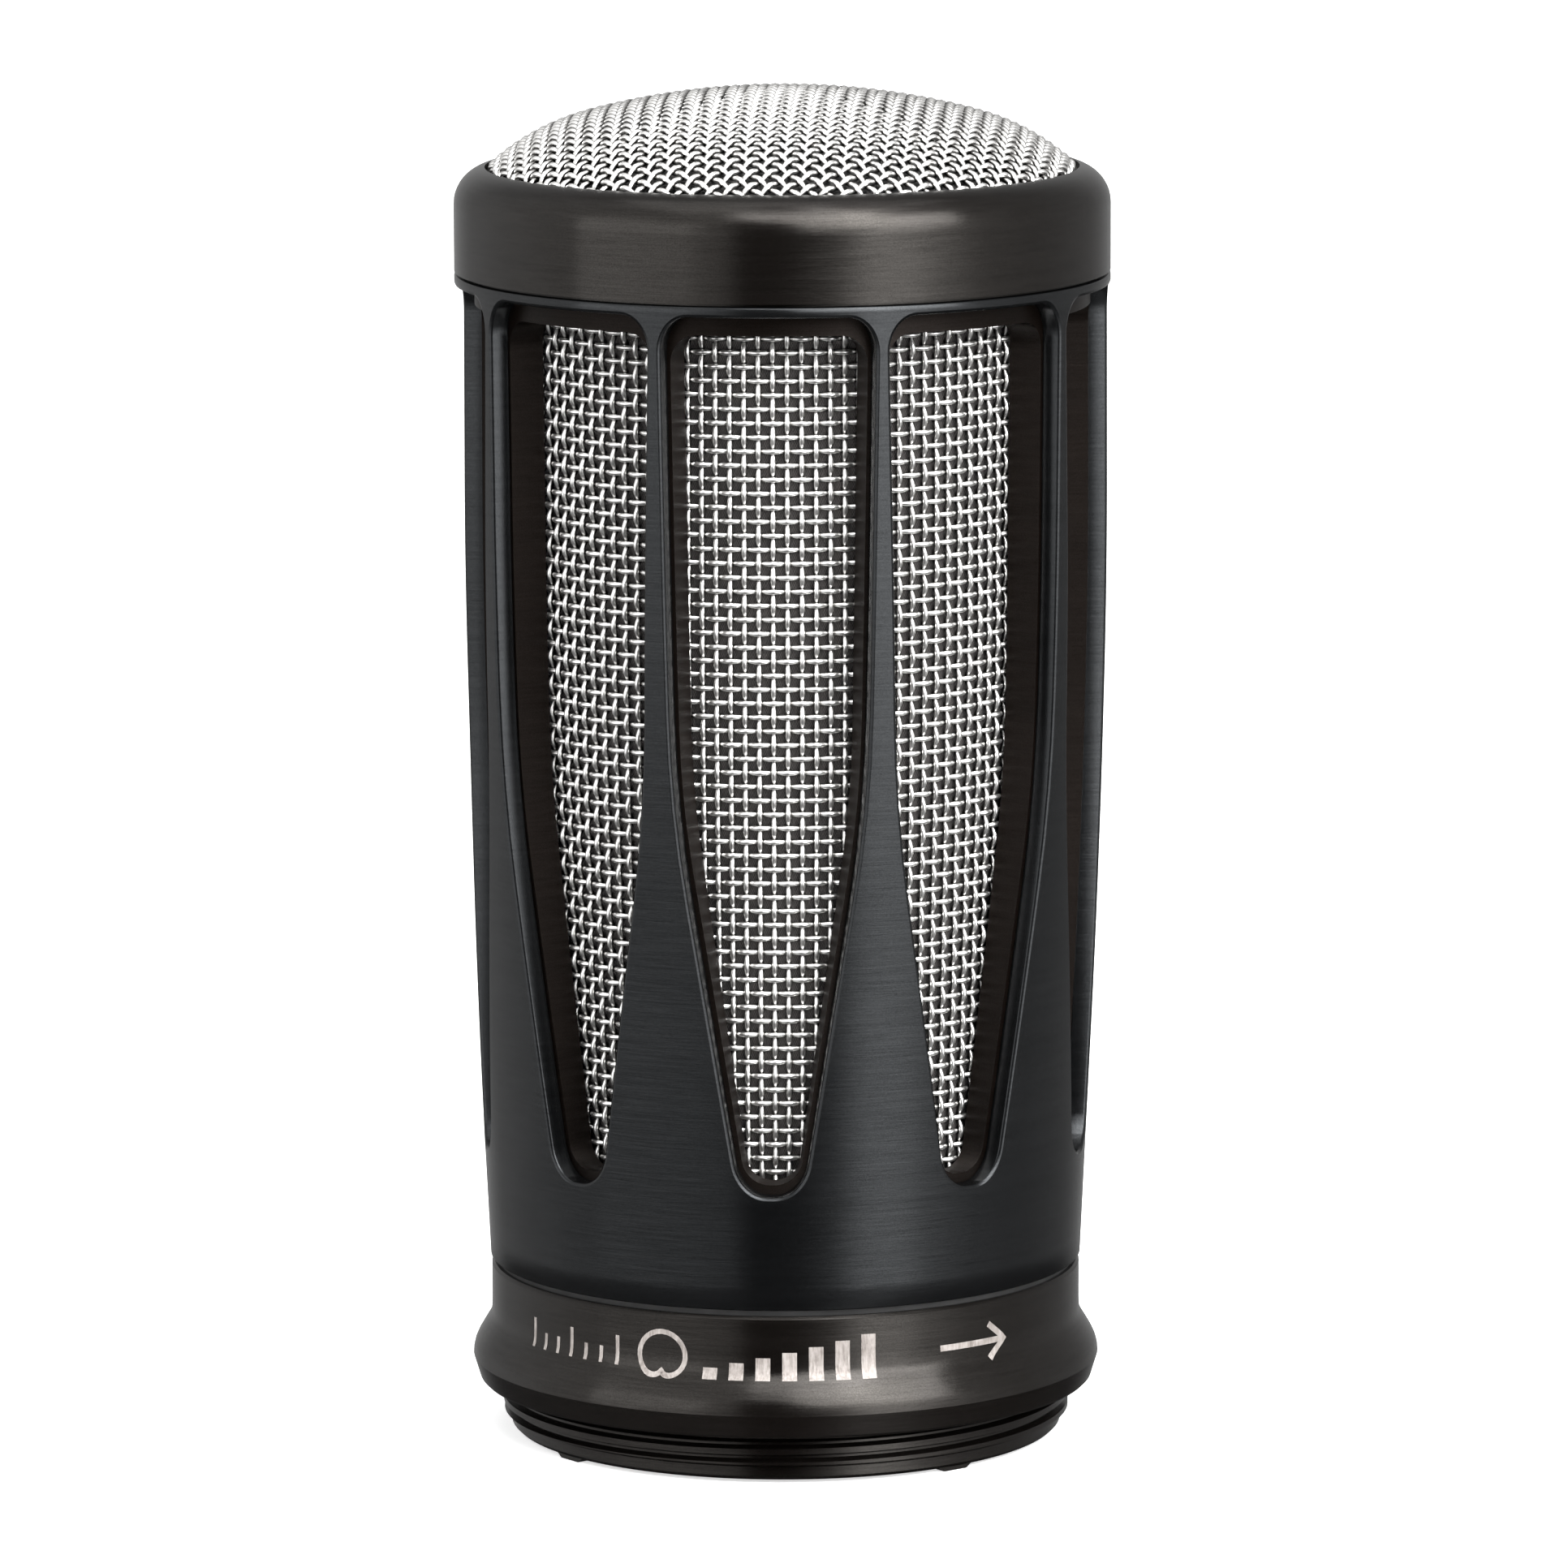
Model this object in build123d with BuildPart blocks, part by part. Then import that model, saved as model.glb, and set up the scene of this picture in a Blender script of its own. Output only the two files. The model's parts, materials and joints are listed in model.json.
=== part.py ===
"""Screw-on capsule head of a hand-held microphone, in millimetres.

+Z runs from the threaded stub up to the mesh dome. The origin is the middle of the plane
of the four key lugs, on which the head stands. -Y is the middle of the front window.
"""

import os
from math import acos, asin, cos, degrees, radians, sin, tan

from build123d import *

# ---------------------------------------------------------------- stations along the axis
LUG_H = 0.22
PILOT_TOP = 0.95
STUB_THREAD_TOP = 2.3
SHOULDER_Z = 2.9
FLARE_Z = 4.2
NECK_Z = 7.3
BASE_TOP = 9.45
SEAL_H = 0.35
SEAL_R = 15.9
SEAL_FIT = 0.2
GRILLE_Z = BASE_TOP + SEAL_H
CAGE_TOP = 64.25
RING_TOP = 70.05
DOME_APEX = 74.35

# ---------------------------------------------------------------- outside radii
STUB_R = 15.65
PILOT_R = 15.2
BASE_NECK_R = 16.25
BASE_FLARE_R = 17.3
FLARE_CURVE = ((17.22, 4.75), (16.86, 5.5), (16.46, 6.15))
SHOULDER_R = 16.95
EDGE_BREAK = 0.15
CAGE_R = 17.9
TAPER_Z = 42.9
CAGE_TAPER = 0.0483
TAPER_BLEND_R = 390.0

# ---------------------------------------------------------------- grille walls
CAGE_WALL = 1.05
SKIN_GAP = 0.05
MESH_R = 14.75
MESH_TAPER = 0.030
MESH_WALL = 0.5
LINER_WALL = 0.18
LINER_GAP = 0.02
END_GAP = 0.1
MESH_BOTTOM = 15.2
MESH_TOP = 63.2

# ---------------------------------------------------------------- windows
WINDOW_COUNT = 9
WINDOW_TOP = 63.65
WINDOW_BOTTOM = 16.05
WINDOW_PLANE = 20.0
WINDOW_INNER_PLANE = 12.0
WINDOW_TOP_HALF = 6.84
WINDOW_BEND_HALF = 6.24
WINDOW_BEND_Z = 37.1
WINDOW_FOOT_HALF = 2.06
WINDOW_TOP_FILLET = 1.9
WINDOW_BEND_FILLET = 60.0
WINDOW_FOOT_ROUNDING = 1.1
CARRIER_INSET = 0.24
CARRIER_WINDOW_DROP = 1.05
CARRIER_WINDOW_RAISE = 0.5

# ---------------------------------------------------------------- joint threads
THREAD_PITCH = 1.0
THREAD_START = 0.4
THREAD_DEPTH = 0.4
THREAD_ROOT_HALF = 0.12
THREAD_FLANK = tan(radians(30))
THREAD_OVER = 0.1
THREAD_FIT = 0.12
SPIGOT_R = 14.3
SPIGOT_BORE_R = 13.0
SPIGOT_TOP = 13.95
SPIGOT_THREAD_Z = BASE_TOP + THREAD_START
COLLAR_R = 16.6
COLLAR_BORE_R = 14.0
COLLAR_TOP = 68.0
COLLAR_THREAD_Z = CAGE_TOP + THREAD_START
RELIEF_GAP = 0.1
THREAD_LEAD_IN = 0.3
THREAD_RELIEF_H = 0.65

# ---------------------------------------------------------------- mount thread
STUB_PITCH = 0.75
STUB_DEPTH = 0.4
STUB_ROOT_HALF = 0.06
STUB_CREST_HALF = 0.26

# ---------------------------------------------------------------- top ring and dome
RING_FILLET = 2.0
RING_LIP_R = 16.1
RING_LIP_Z = 69.2
RING_LIP_SLANT = 0.1
CROWN_R = 42.0
CROWN_BREAK_R = 11.0
KNUCKLE_R = 12.16
DOME_SKIRT_R = 15.95
SEAM_H = 0.16
SEAM_DEPTH = 0.4
DOME_WALL = 0.55
FLANGE_Z = 68.6
FLANGE_H = 0.55
FOAM_GAP = 0.1
FOAM_THICK = 2.2
FOAM_R = 15.2
FOAM_HOLLOW_R = 13.0
GASKET_OUTER_FIT = 0.1
GASKET_OVERLAP = 0.3

# ---------------------------------------------------------------- contacts in the stub
BOARD_R = 13.5
BOARD_Z = 1.8
BOARD_H = 1.2
BOARD_WELL_R = 13.6
RETAINER_Z = 0.75
CONTACT_H = 0.12
CONTACT_RINGS = ((4.2, 6.2), (8.2, 10.6))
CONTACT_CENTRE_R = 2.2
LUG_COUNT = 4
LUG_ANGLE = 40.5
LUG_HALF_FOOT = 0.75
LUG_HALF_ROOT = 1.2
LUG_INSET = 0.1
PILOT_BREAK = 0.2
WELL_LEDGE = 1.0
BOARD_NOTCH_R = 1.1
RETAINER_FIT = 0.04
RETAINER_BORE_R = 12.1
RETAINER_SLOT = (1.4, 1.6)
RETAINER_SLOT_H = 0.6

# ---------------------------------------------------------------- chassis and boards
WEB_Z = 4.5
WEB_BORE_R = 10.8
FLOOR_Z = 6.5
FLOOR_H = 1.5
FLOOR_R = 12.95
PLATE_Z = 41.0
PLATE_H = 1.5
PLATE_R = 11.0
PLATE_BORE_R = 5.0
RAIL_IN = 9.3
RAIL_OUT = 11.8
RAIL_HALF_Y = 2.0
RAIL_SETBACK = 0.3
PCB_THICK = 1.2
PCB_HALF_X = 9.85
PCB_SLOT_GAP = 0.1
SCREW_COUNT = 3
SCREW_ANGLE = 30.0
SCREW_CIRCLE_R = 11.9
SCREW_SHANK_R = 0.68
SCREW_HEAD_R = 1.0
SCREW_FIT = 0.03
SCREW_HOLE_FIT = 0.05
SCREW_HEAD_H = 0.9
SCREW_FOOT_GAP = 0.3
SOCKET_R = 0.5
SOCKET_H = 0.55
WIRE_HOLE = (10, 6)
PIN_PITCH = 2.54
PIN_COUNT = 3
PIN_R = 0.4
PIN_LENGTH = 9.0
PIN_GAP = 0.02

# ---------------------------------------------------------------- preamplifier, places as across and height
INPUT_TRANSISTOR_X = 2.6
INPUT_TRANSISTOR_Z = 32.0
INPUT_TRANSISTOR_R = 2.3
INPUT_TRANSISTOR_FLAT = 1.9
INPUT_TRANSISTOR_H = 4.6
FILM_BOX_SPOTS = ((-4.2, 27.0), (4.2, 27.0))
FILM_BOX_SIZE = (7.2, 6.0)
FILM_BOX_ROUNDING = 0.5
FILM_BOX_H = 3.0
CAN_SPOTS = ((-5.6, 18.5), (0.2, 18.5), (-5.6, 24.6))
CAN_R = 2.5
CAN_H = 5.4
CAN_ROUNDING = 0.35
CHIP_SPOT = (3.6, 24.6)
CHIP_PITCH = (3.0, 2.4)
CHIP_GRID = (2, 3)
CHIP_SIZE = (2.0, 1.25)
CHIP_H = 0.55
OUTPUT_SPOTS = ((-3.2, 12.0), (3.2, 12.0))
OUTPUT_SIZE = (2.9, 1.3)
OUTPUT_H = 1.0

# ---------------------------------------------------------------- capsule
MOUNT_TOP = 46.6
MOUNT_BORE_R = 6.3
MOUNT_R = 10.0
MOUNT_WAIST_R = 8.8
MOUNT_RIM_H = 1.0
MOUNT_WAIST_H = 1.6
CRADLE_BORE_R = 5.2
CRADLE_R = 10.2
CRADLE_CUP_R = 9.4
CRADLE_CUP_H = 4.6
CRADLE_FIT = 0.03
CRADLE_FLANGE_H = 1.4
CAPSULE_Z = MOUNT_TOP + CRADLE_FLANGE_H
CAPSULE_R = 8.2
CAPSULE_BORE_R = 7.5
CAPSULE_H = 15.5
INNER_R = 7.42
VENT_COUNT = 8
VENT_SIZE = (3.2, 1.2)
VENT_RISE = 7.0
REAR_CAP_H = 1.4
REAR_HOLE_CIRCLE_R = 4.6
REAR_HOLE_R = 0.8
BUSH_HOLE_R = 1.6
BUSH_R = 1.56
TERMINAL_R = 0.8
TERMINAL_HOLE_R = 0.84
TERMINAL_FOOT_Z = MOUNT_TOP - 0.4
TERMINAL_GAP = 0.05
INSULATOR_H = 1.4
INSULATOR_HOLE_CIRCLE_R = 3.6
INSULATOR_HOLE_R = 0.7
BACKPLATE_Z = 58.0
BACKPLATE_R = 6.6
BACKPLATE_H = 1.2
BACKPLATE_HOLE_R = 0.4
BACKPLATE_CIRCLES = ((4.4, 12), (2.2, 6))
SPACER_BORE_R = 6.7
SPACER_H = 1.25
DIAPHRAGM_Z = BACKPLATE_Z + SPACER_H
DIAPHRAGM_H = 0.06
TENSION_RING_BORE_R = 6.3
TENSION_RING_Z = DIAPHRAGM_Z + DIAPHRAGM_H
TENSION_RING_H = 1.5
FRONT_GRILLE_Z = TENSION_RING_Z + TENSION_RING_H
FRONT_GRILLE_H = 0.6
FRONT_HOLE_R = 0.75
FRONT_CIRCLES = ((4.6, 12), (2.3, 6))
CLAMP_Z = FRONT_GRILLE_Z + FRONT_GRILLE_H
CLAMP_BORE_R = 6.5
CLAMP_H = 1.4
CLAMP_SLOT_CIRCLE_R = 6.95
CLAMP_SLOT = (1.3, 1.0)
CLAMP_SLOT_H = 0.6
LEAD_R = 0.45
LEAD_BEND_R = 1.2
LEAD_GAP = 0.03
LEAD_HOT_TURN_Z = 44.2
LEAD_GROUND_TURN_Z = 44.4
LEAD_BOARD_Z = 41.9
LEAD_END_Z = 36.5
LEAD_GROUND_X = -3.4
LEAD_GROUND_Y = 0.5
LEAD_GROUND_DROP = 0.05


def radius_at(top_radius, slope, z):
    """Radius of a tapered wall at height z, from its straight upper radius."""
    return top_radius - slope * max(0.0, TAPER_Z - z)


def wall_line(top_radius, slope, z_low, z_high):
    """The three corners of a wall line: foot, start of the taper, top."""
    return (
        (radius_at(top_radius, slope, z_low), z_low),
        (top_radius, TAPER_Z),
        (top_radius, z_high),
    )


def tapered_tube(outer, outer_slope, inner, inner_slope, z_low, z_high):
    """A tube with a straight upper half and a conical lower half, blended together."""
    outer_pts = wall_line(outer, outer_slope, z_low, z_high)
    inner_pts = wall_line(inner, inner_slope, z_low, z_high)
    with BuildPart() as tube:
        with BuildSketch(Plane.XZ):
            with BuildLine():
                FilletPolyline(*outer_pts, radius=TAPER_BLEND_R)
                FilletPolyline(*inner_pts, radius=TAPER_BLEND_R)
                Line(outer_pts[0], inner_pts[0])
                Line(outer_pts[-1], inner_pts[-1])
            make_face()
        revolve(axis=Axis.Z)
    return tube.part


def ring(outer, inner, z_low, height):
    """A plain ring or, with no inner radius, a disc."""
    with BuildPart() as body:
        with BuildSketch(Plane.XY.offset(z_low)):
            Circle(outer)
            if inner:
                Circle(inner, mode=Mode.SUBTRACT)
        extrude(amount=height)
    return body.part


def turned(*points):
    """A turned solid from the corners of its half section, as radius and height."""
    with BuildPart() as body:
        with BuildSketch(Plane.XZ):
            with BuildLine():
                Polyline(*points, close=True)
            make_face()
        revolve(axis=Axis.Z)
    return body.part


def helical_cutter(near, far, near_half, far_half, pitch, z_low, z_high):
    """A right-hand thread groove whose half width changes from radius near to radius far."""
    with BuildPart() as cutter:
        with BuildLine() as path:
            Helix(pitch, z_high - z_low, near, center=(0, 0, z_low))
        with BuildSketch(Plane((near, 0, z_low), x_dir=(1, 0, 0), z_dir=(0, -1, 0))):
            with BuildLine():
                Polyline(
                    (0, -near_half),
                    (far - near, -far_half),
                    (far - near, far_half),
                    (0, near_half),
                    close=True,
                )
            make_face()
        sweep(path=path.wires()[0], is_frenet=True)
    return cutter.part


def joint_thread(crest, z_low, z_high):
    """The groove of a joint thread on the outside of a spigot of the given crest radius."""
    root = crest - THREAD_DEPTH
    wide = THREAD_ROOT_HALF + (THREAD_DEPTH + THREAD_OVER) * THREAD_FLANK
    return helical_cutter(root, crest + THREAD_OVER, THREAD_ROOT_HALF, wide, THREAD_PITCH, z_low, z_high)


def window_cutter(inset, drop, lift):
    """A window with radial side walls, lofted from outside the wall to inside it."""
    with BuildPart() as cutter:
        for reach in (WINDOW_PLANE, WINDOW_INNER_PLANE):
            scale = reach / WINDOW_PLANE
            foot = (WINDOW_FOOT_HALF - inset) * scale
            bend = (WINDOW_BEND_HALF - inset) * scale
            head = (WINDOW_TOP_HALF - inset) * scale
            top = WINDOW_TOP - drop
            bottom = WINDOW_BOTTOM + lift
            foot_fillet = WINDOW_FOOT_ROUNDING * foot
            head_fillet = WINDOW_TOP_FILLET * scale
            with BuildSketch(Plane.XZ.offset(reach)):
                with BuildLine():
                    FilletPolyline(
                        (foot, bottom),
                        (bend, WINDOW_BEND_Z),
                        (head, top),
                        (-head, top),
                        (-bend, WINDOW_BEND_Z),
                        (-foot, bottom),
                        radius=(
                            foot_fillet,
                            WINDOW_BEND_FILLET,
                            head_fillet,
                            head_fillet,
                            WINDOW_BEND_FILLET,
                            foot_fillet,
                        ),
                        close=True,
                    )
                make_face()
        loft(ruled=True)
    return cutter.part


def finish(piece, name):
    """Label a finished piece and write it."""
    piece.part.label = name
    export_step(piece.part, f"parts/{name}.step")


os.makedirs("parts", exist_ok=True)

# ================================================================ base ring and mount thread
flare_points = ((BASE_FLARE_R, FLARE_Z), *FLARE_CURVE, (BASE_NECK_R, NECK_Z))
spigot_root = SPIGOT_R - THREAD_DEPTH
stub_root = STUB_R - STUB_DEPTH
spigot_relief = spigot_root - RELIEF_GAP
stub_relief = stub_root - RELIEF_GAP

with BuildPart() as lug:
    with BuildSketch(Plane.YZ.offset(BOARD_WELL_R + LUG_INSET)):
        with BuildLine():
            Polyline(
                (-LUG_HALF_ROOT, LUG_H + LUG_INSET),
                (-LUG_HALF_FOOT, 0),
                (LUG_HALF_FOOT, 0),
                (LUG_HALF_ROOT, LUG_H + LUG_INSET),
                close=True,
            )
        make_face()
    extrude(amount=PILOT_R - BOARD_WELL_R - PILOT_BREAK - LUG_INSET)

stub_thread = helical_cutter(
    stub_root,
    STUB_R + THREAD_OVER,
    STUB_ROOT_HALF,
    STUB_CREST_HALF,
    STUB_PITCH,
    PILOT_TOP - STUB_PITCH,
    STUB_THREAD_TOP + STUB_PITCH / 3,
)
spigot_thread = joint_thread(SPIGOT_R, SPIGOT_THREAD_Z, SPIGOT_TOP + THREAD_PITCH)

with BuildPart() as base_ring:
    with BuildSketch(Plane.XZ):
        with BuildLine():
            Polyline(
                (BOARD_WELL_R, LUG_H),
                (PILOT_R - PILOT_BREAK, LUG_H),
                (PILOT_R, LUG_H + PILOT_BREAK),
                (PILOT_R, PILOT_TOP),
                (STUB_R, PILOT_TOP + PILOT_BREAK),
                (STUB_R, STUB_THREAD_TOP),
                (stub_relief, STUB_THREAD_TOP + PILOT_BREAK),
                (stub_relief, SHOULDER_Z),
                (SHOULDER_R - EDGE_BREAK, SHOULDER_Z),
                (SHOULDER_R, SHOULDER_Z + EDGE_BREAK),
                (BASE_FLARE_R, FLARE_Z),
            )
            Spline(*flare_points, tangents=((0, 1), (0, 1)))
            Polyline(
                (BASE_NECK_R, NECK_Z),
                (BASE_NECK_R, BASE_TOP - EDGE_BREAK),
                (BASE_NECK_R - EDGE_BREAK, BASE_TOP),
                (spigot_relief, BASE_TOP),
                (spigot_relief, BASE_TOP + THREAD_RELIEF_H),
                (SPIGOT_R, BASE_TOP + THREAD_RELIEF_H + THREAD_LEAD_IN),
                (SPIGOT_R, SPIGOT_TOP - THREAD_LEAD_IN),
                (SPIGOT_R - THREAD_LEAD_IN, SPIGOT_TOP),
                (SPIGOT_BORE_R, SPIGOT_TOP),
                (SPIGOT_BORE_R, FLOOR_Z),
                (WEB_BORE_R, FLOOR_Z),
                (WEB_BORE_R, WEB_Z),
                (BOARD_WELL_R - WELL_LEDGE, WEB_Z),
                (BOARD_WELL_R - WELL_LEDGE, BOARD_Z + BOARD_H),
                (BOARD_WELL_R, BOARD_Z + BOARD_H),
                (BOARD_WELL_R, LUG_H),
            )
        make_face()
    revolve(axis=Axis.Z)
    add(stub_thread, mode=Mode.SUBTRACT)
    add(spigot_thread, mode=Mode.SUBTRACT)
    with PolarLocations(0, LUG_COUNT, start_angle=LUG_ANGLE):
        add(lug.part)
    with BuildSketch(Plane.XY.offset(WEB_Z)):
        with PolarLocations(SCREW_CIRCLE_R, SCREW_COUNT, start_angle=SCREW_ANGLE):
            Circle(SCREW_SHANK_R + SCREW_FIT)
    extrude(amount=FLOOR_Z - WEB_Z, mode=Mode.SUBTRACT)
finish(base_ring, "base_ring")

# ================================================================ contacts in the stub
with BuildPart() as contact_board:
    add(ring(BOARD_R, 0, BOARD_Z, BOARD_H))
    with BuildSketch(Plane.XY.offset(BOARD_Z)):
        with Locations((0, BOARD_R)):
            Circle(BOARD_NOTCH_R)
    extrude(amount=BOARD_H, mode=Mode.SUBTRACT)
finish(contact_board, "contact_board")

with BuildPart() as contact_centre:
    add(ring(CONTACT_CENTRE_R, 0, BOARD_Z - CONTACT_H, CONTACT_H))
finish(contact_centre, "contact_centre")

with BuildPart() as contact_rings:
    for inner_radius, outer_radius in CONTACT_RINGS:
        add(ring(outer_radius, inner_radius, BOARD_Z - CONTACT_H, CONTACT_H))
finish(contact_rings, "contact_rings")

with BuildPart() as board_retainer:
    add(ring(BOARD_WELL_R - RETAINER_FIT, RETAINER_BORE_R, RETAINER_Z, BOARD_Z - RETAINER_Z))
    with BuildSketch(Plane.XY.offset(RETAINER_Z)):
        with PolarLocations(RETAINER_BORE_R, 2):
            Rectangle(*RETAINER_SLOT)
    extrude(amount=RETAINER_SLOT_H, mode=Mode.SUBTRACT)
finish(board_retainer, "board_retainer")

with BuildPart() as header_pins:
    with BuildSketch(Plane.XY.offset(BOARD_Z + BOARD_H)):
        with GridLocations(PIN_PITCH, 0, PIN_COUNT, 1):
            with Locations((0, PCB_THICK / 2 + PIN_R + PIN_GAP)):
                Circle(PIN_R)
    extrude(amount=PIN_LENGTH)
finish(header_pins, "header_pins")

# ================================================================ chassis
with BuildPart() as chassis:
    with BuildSketch(Plane.XY.offset(FLOOR_Z)):
        Circle(FLOOR_R)
        Rectangle(*WIRE_HOLE, mode=Mode.SUBTRACT)
        with PolarLocations(SCREW_CIRCLE_R, SCREW_COUNT, start_angle=SCREW_ANGLE):
            Circle(SCREW_SHANK_R + SCREW_HOLE_FIT, mode=Mode.SUBTRACT)
    extrude(amount=FLOOR_H)
    with BuildSketch(Plane.XY.offset(FLOOR_Z + FLOOR_H)):
        rail_middle = (RAIL_IN + RAIL_OUT) / 2 - RAIL_SETBACK
        with Locations((rail_middle, 0), (-rail_middle, 0)):
            Rectangle(RAIL_OUT - RAIL_IN - 2 * RAIL_SETBACK, 2 * RAIL_HALF_Y)
        Rectangle(2 * PCB_HALF_X + 2 * PCB_SLOT_GAP, PCB_THICK + 2 * PCB_SLOT_GAP, mode=Mode.SUBTRACT)
    extrude(amount=PLATE_Z - FLOOR_Z - FLOOR_H)
    with BuildSketch(Plane.XY.offset(PLATE_Z)):
        Circle(PLATE_R)
        Circle(PLATE_BORE_R, mode=Mode.SUBTRACT)
    extrude(amount=PLATE_H)
finish(chassis, "chassis")

with BuildPart() as chassis_screws:
    with BuildSketch(Plane.XY.offset(FLOOR_Z + FLOOR_H)):
        with PolarLocations(SCREW_CIRCLE_R, SCREW_COUNT, start_angle=SCREW_ANGLE):
            Circle(SCREW_HEAD_R)
    extrude(amount=SCREW_HEAD_H)
    with BuildSketch(Plane.XY.offset(WEB_Z + SCREW_FOOT_GAP)):
        with PolarLocations(SCREW_CIRCLE_R, SCREW_COUNT, start_angle=SCREW_ANGLE):
            Circle(SCREW_SHANK_R)
    extrude(amount=FLOOR_Z + FLOOR_H - WEB_Z - SCREW_FOOT_GAP)
    with BuildSketch(Plane.XY.offset(FLOOR_Z + FLOOR_H + SCREW_HEAD_H)):
        with PolarLocations(SCREW_CIRCLE_R, SCREW_COUNT, start_angle=SCREW_ANGLE):
            RegularPolygon(SOCKET_R, 6)
    extrude(amount=-SOCKET_H, mode=Mode.SUBTRACT)
finish(chassis_screws, "chassis_screws")

# ================================================================ preamplifier
with BuildPart() as preamp_board:
    with BuildSketch(Plane.XY.offset(FLOOR_Z + FLOOR_H + PCB_SLOT_GAP)):
        Rectangle(2 * PCB_HALF_X, PCB_THICK)
    extrude(amount=PLATE_Z - FLOOR_Z - FLOOR_H - 2 * PCB_SLOT_GAP)
finish(preamp_board, "preamp_board")

with BuildPart() as input_transistor:
    with BuildSketch(Plane.XY.offset(INPUT_TRANSISTOR_Z)):
        with Locations((INPUT_TRANSISTOR_X, -PCB_THICK / 2 - INPUT_TRANSISTOR_FLAT)):
            Circle(INPUT_TRANSISTOR_R)
            with Locations((0, INPUT_TRANSISTOR_FLAT + INPUT_TRANSISTOR_R)):
                Rectangle(3 * INPUT_TRANSISTOR_R, 2 * INPUT_TRANSISTOR_R, mode=Mode.SUBTRACT)
    extrude(amount=INPUT_TRANSISTOR_H)
finish(input_transistor, "input_transistor")

with BuildPart() as coupling_capacitors:
    with BuildSketch(Plane.XZ.offset(-PCB_THICK / 2)):
        with Locations(*FILM_BOX_SPOTS):
            RectangleRounded(*FILM_BOX_SIZE, FILM_BOX_ROUNDING)
    extrude(amount=-FILM_BOX_H)
finish(coupling_capacitors, "coupling_capacitors")

with BuildPart() as filter_capacitors:
    with BuildSketch(Plane.XZ.offset(PCB_THICK / 2)):
        with Locations(*CAN_SPOTS):
            Circle(CAN_R)
    extrude(amount=CAN_H)
    fillet(filter_capacitors.faces().sort_by(Axis.Y)[: len(CAN_SPOTS)].edges(), CAN_ROUNDING)
finish(filter_capacitors, "filter_capacitors")

with BuildPart() as resistors:
    with BuildSketch(Plane.XZ.offset(PCB_THICK / 2)):
        with Locations(CHIP_SPOT):
            with GridLocations(*CHIP_PITCH, *CHIP_GRID):
                Rectangle(*CHIP_SIZE)
    extrude(amount=CHIP_H)
finish(resistors, "resistors")

with BuildPart() as output_transistors:
    with BuildSketch(Plane.XZ.offset(PCB_THICK / 2)):
        with Locations(*OUTPUT_SPOTS):
            Rectangle(*OUTPUT_SIZE)
    extrude(amount=OUTPUT_H)
finish(output_transistors, "output_transistors")

# ================================================================ capsule suspension
with BuildPart() as shock_mount:
    add(
        turned(
            (MOUNT_BORE_R, PLATE_Z + PLATE_H),
            (MOUNT_R, PLATE_Z + PLATE_H),
            (MOUNT_R, PLATE_Z + PLATE_H + MOUNT_RIM_H),
            (MOUNT_WAIST_R, PLATE_Z + PLATE_H + MOUNT_WAIST_H),
            (MOUNT_WAIST_R, MOUNT_TOP - MOUNT_WAIST_H),
            (MOUNT_R, MOUNT_TOP - MOUNT_RIM_H),
            (MOUNT_R, MOUNT_TOP),
            (MOUNT_BORE_R, MOUNT_TOP),
        )
    )
finish(shock_mount, "shock_mount")

with BuildPart() as capsule_cradle:
    add(
        turned(
            (CRADLE_BORE_R, MOUNT_TOP),
            (CRADLE_R, MOUNT_TOP),
            (CRADLE_R, CAPSULE_Z),
            (CRADLE_CUP_R, CAPSULE_Z),
            (CRADLE_CUP_R, CAPSULE_Z + CRADLE_CUP_H),
            (CAPSULE_R + CRADLE_FIT, CAPSULE_Z + CRADLE_CUP_H),
            (CAPSULE_R + CRADLE_FIT, CAPSULE_Z),
            (CRADLE_BORE_R, CAPSULE_Z),
        )
    )
finish(capsule_cradle, "capsule_cradle")

# ================================================================ capsule
with BuildPart() as capsule_housing:
    add(ring(CAPSULE_R, CAPSULE_BORE_R, CAPSULE_Z, CAPSULE_H))
    with BuildSketch(Plane.XZ) as vent:
        with Locations((0, CAPSULE_Z + VENT_RISE)):
            SlotOverall(*VENT_SIZE, rotation=90)
    with PolarLocations(0, VENT_COUNT):
        extrude(vent.sketch, amount=CAPSULE_R + 1, mode=Mode.SUBTRACT)
finish(capsule_housing, "capsule_housing")

with BuildPart() as rear_cap:
    with BuildSketch(Plane.XY.offset(CAPSULE_Z)):
        Circle(INNER_R)
        Circle(BUSH_HOLE_R, mode=Mode.SUBTRACT)
        with PolarLocations(REAR_HOLE_CIRCLE_R, 6):
            Circle(REAR_HOLE_R, mode=Mode.SUBTRACT)
    extrude(amount=REAR_CAP_H)
finish(rear_cap, "rear_cap")

with BuildPart() as terminal_bush:
    add(ring(BUSH_R, TERMINAL_HOLE_R, CAPSULE_Z, REAR_CAP_H))
finish(terminal_bush, "terminal_bush")

with BuildPart() as terminal_pin:
    add(ring(TERMINAL_R, 0, TERMINAL_FOOT_Z, BACKPLATE_Z - TERMINAL_FOOT_Z - TERMINAL_GAP))
finish(terminal_pin, "terminal_pin")

with BuildPart() as insulator:
    with BuildSketch(Plane.XY.offset(BACKPLATE_Z - INSULATOR_H)):
        Circle(INNER_R)
        Circle(TERMINAL_HOLE_R, mode=Mode.SUBTRACT)
        with PolarLocations(INSULATOR_HOLE_CIRCLE_R, 6):
            Circle(INSULATOR_HOLE_R, mode=Mode.SUBTRACT)
    extrude(amount=INSULATOR_H)
finish(insulator, "insulator")

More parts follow.
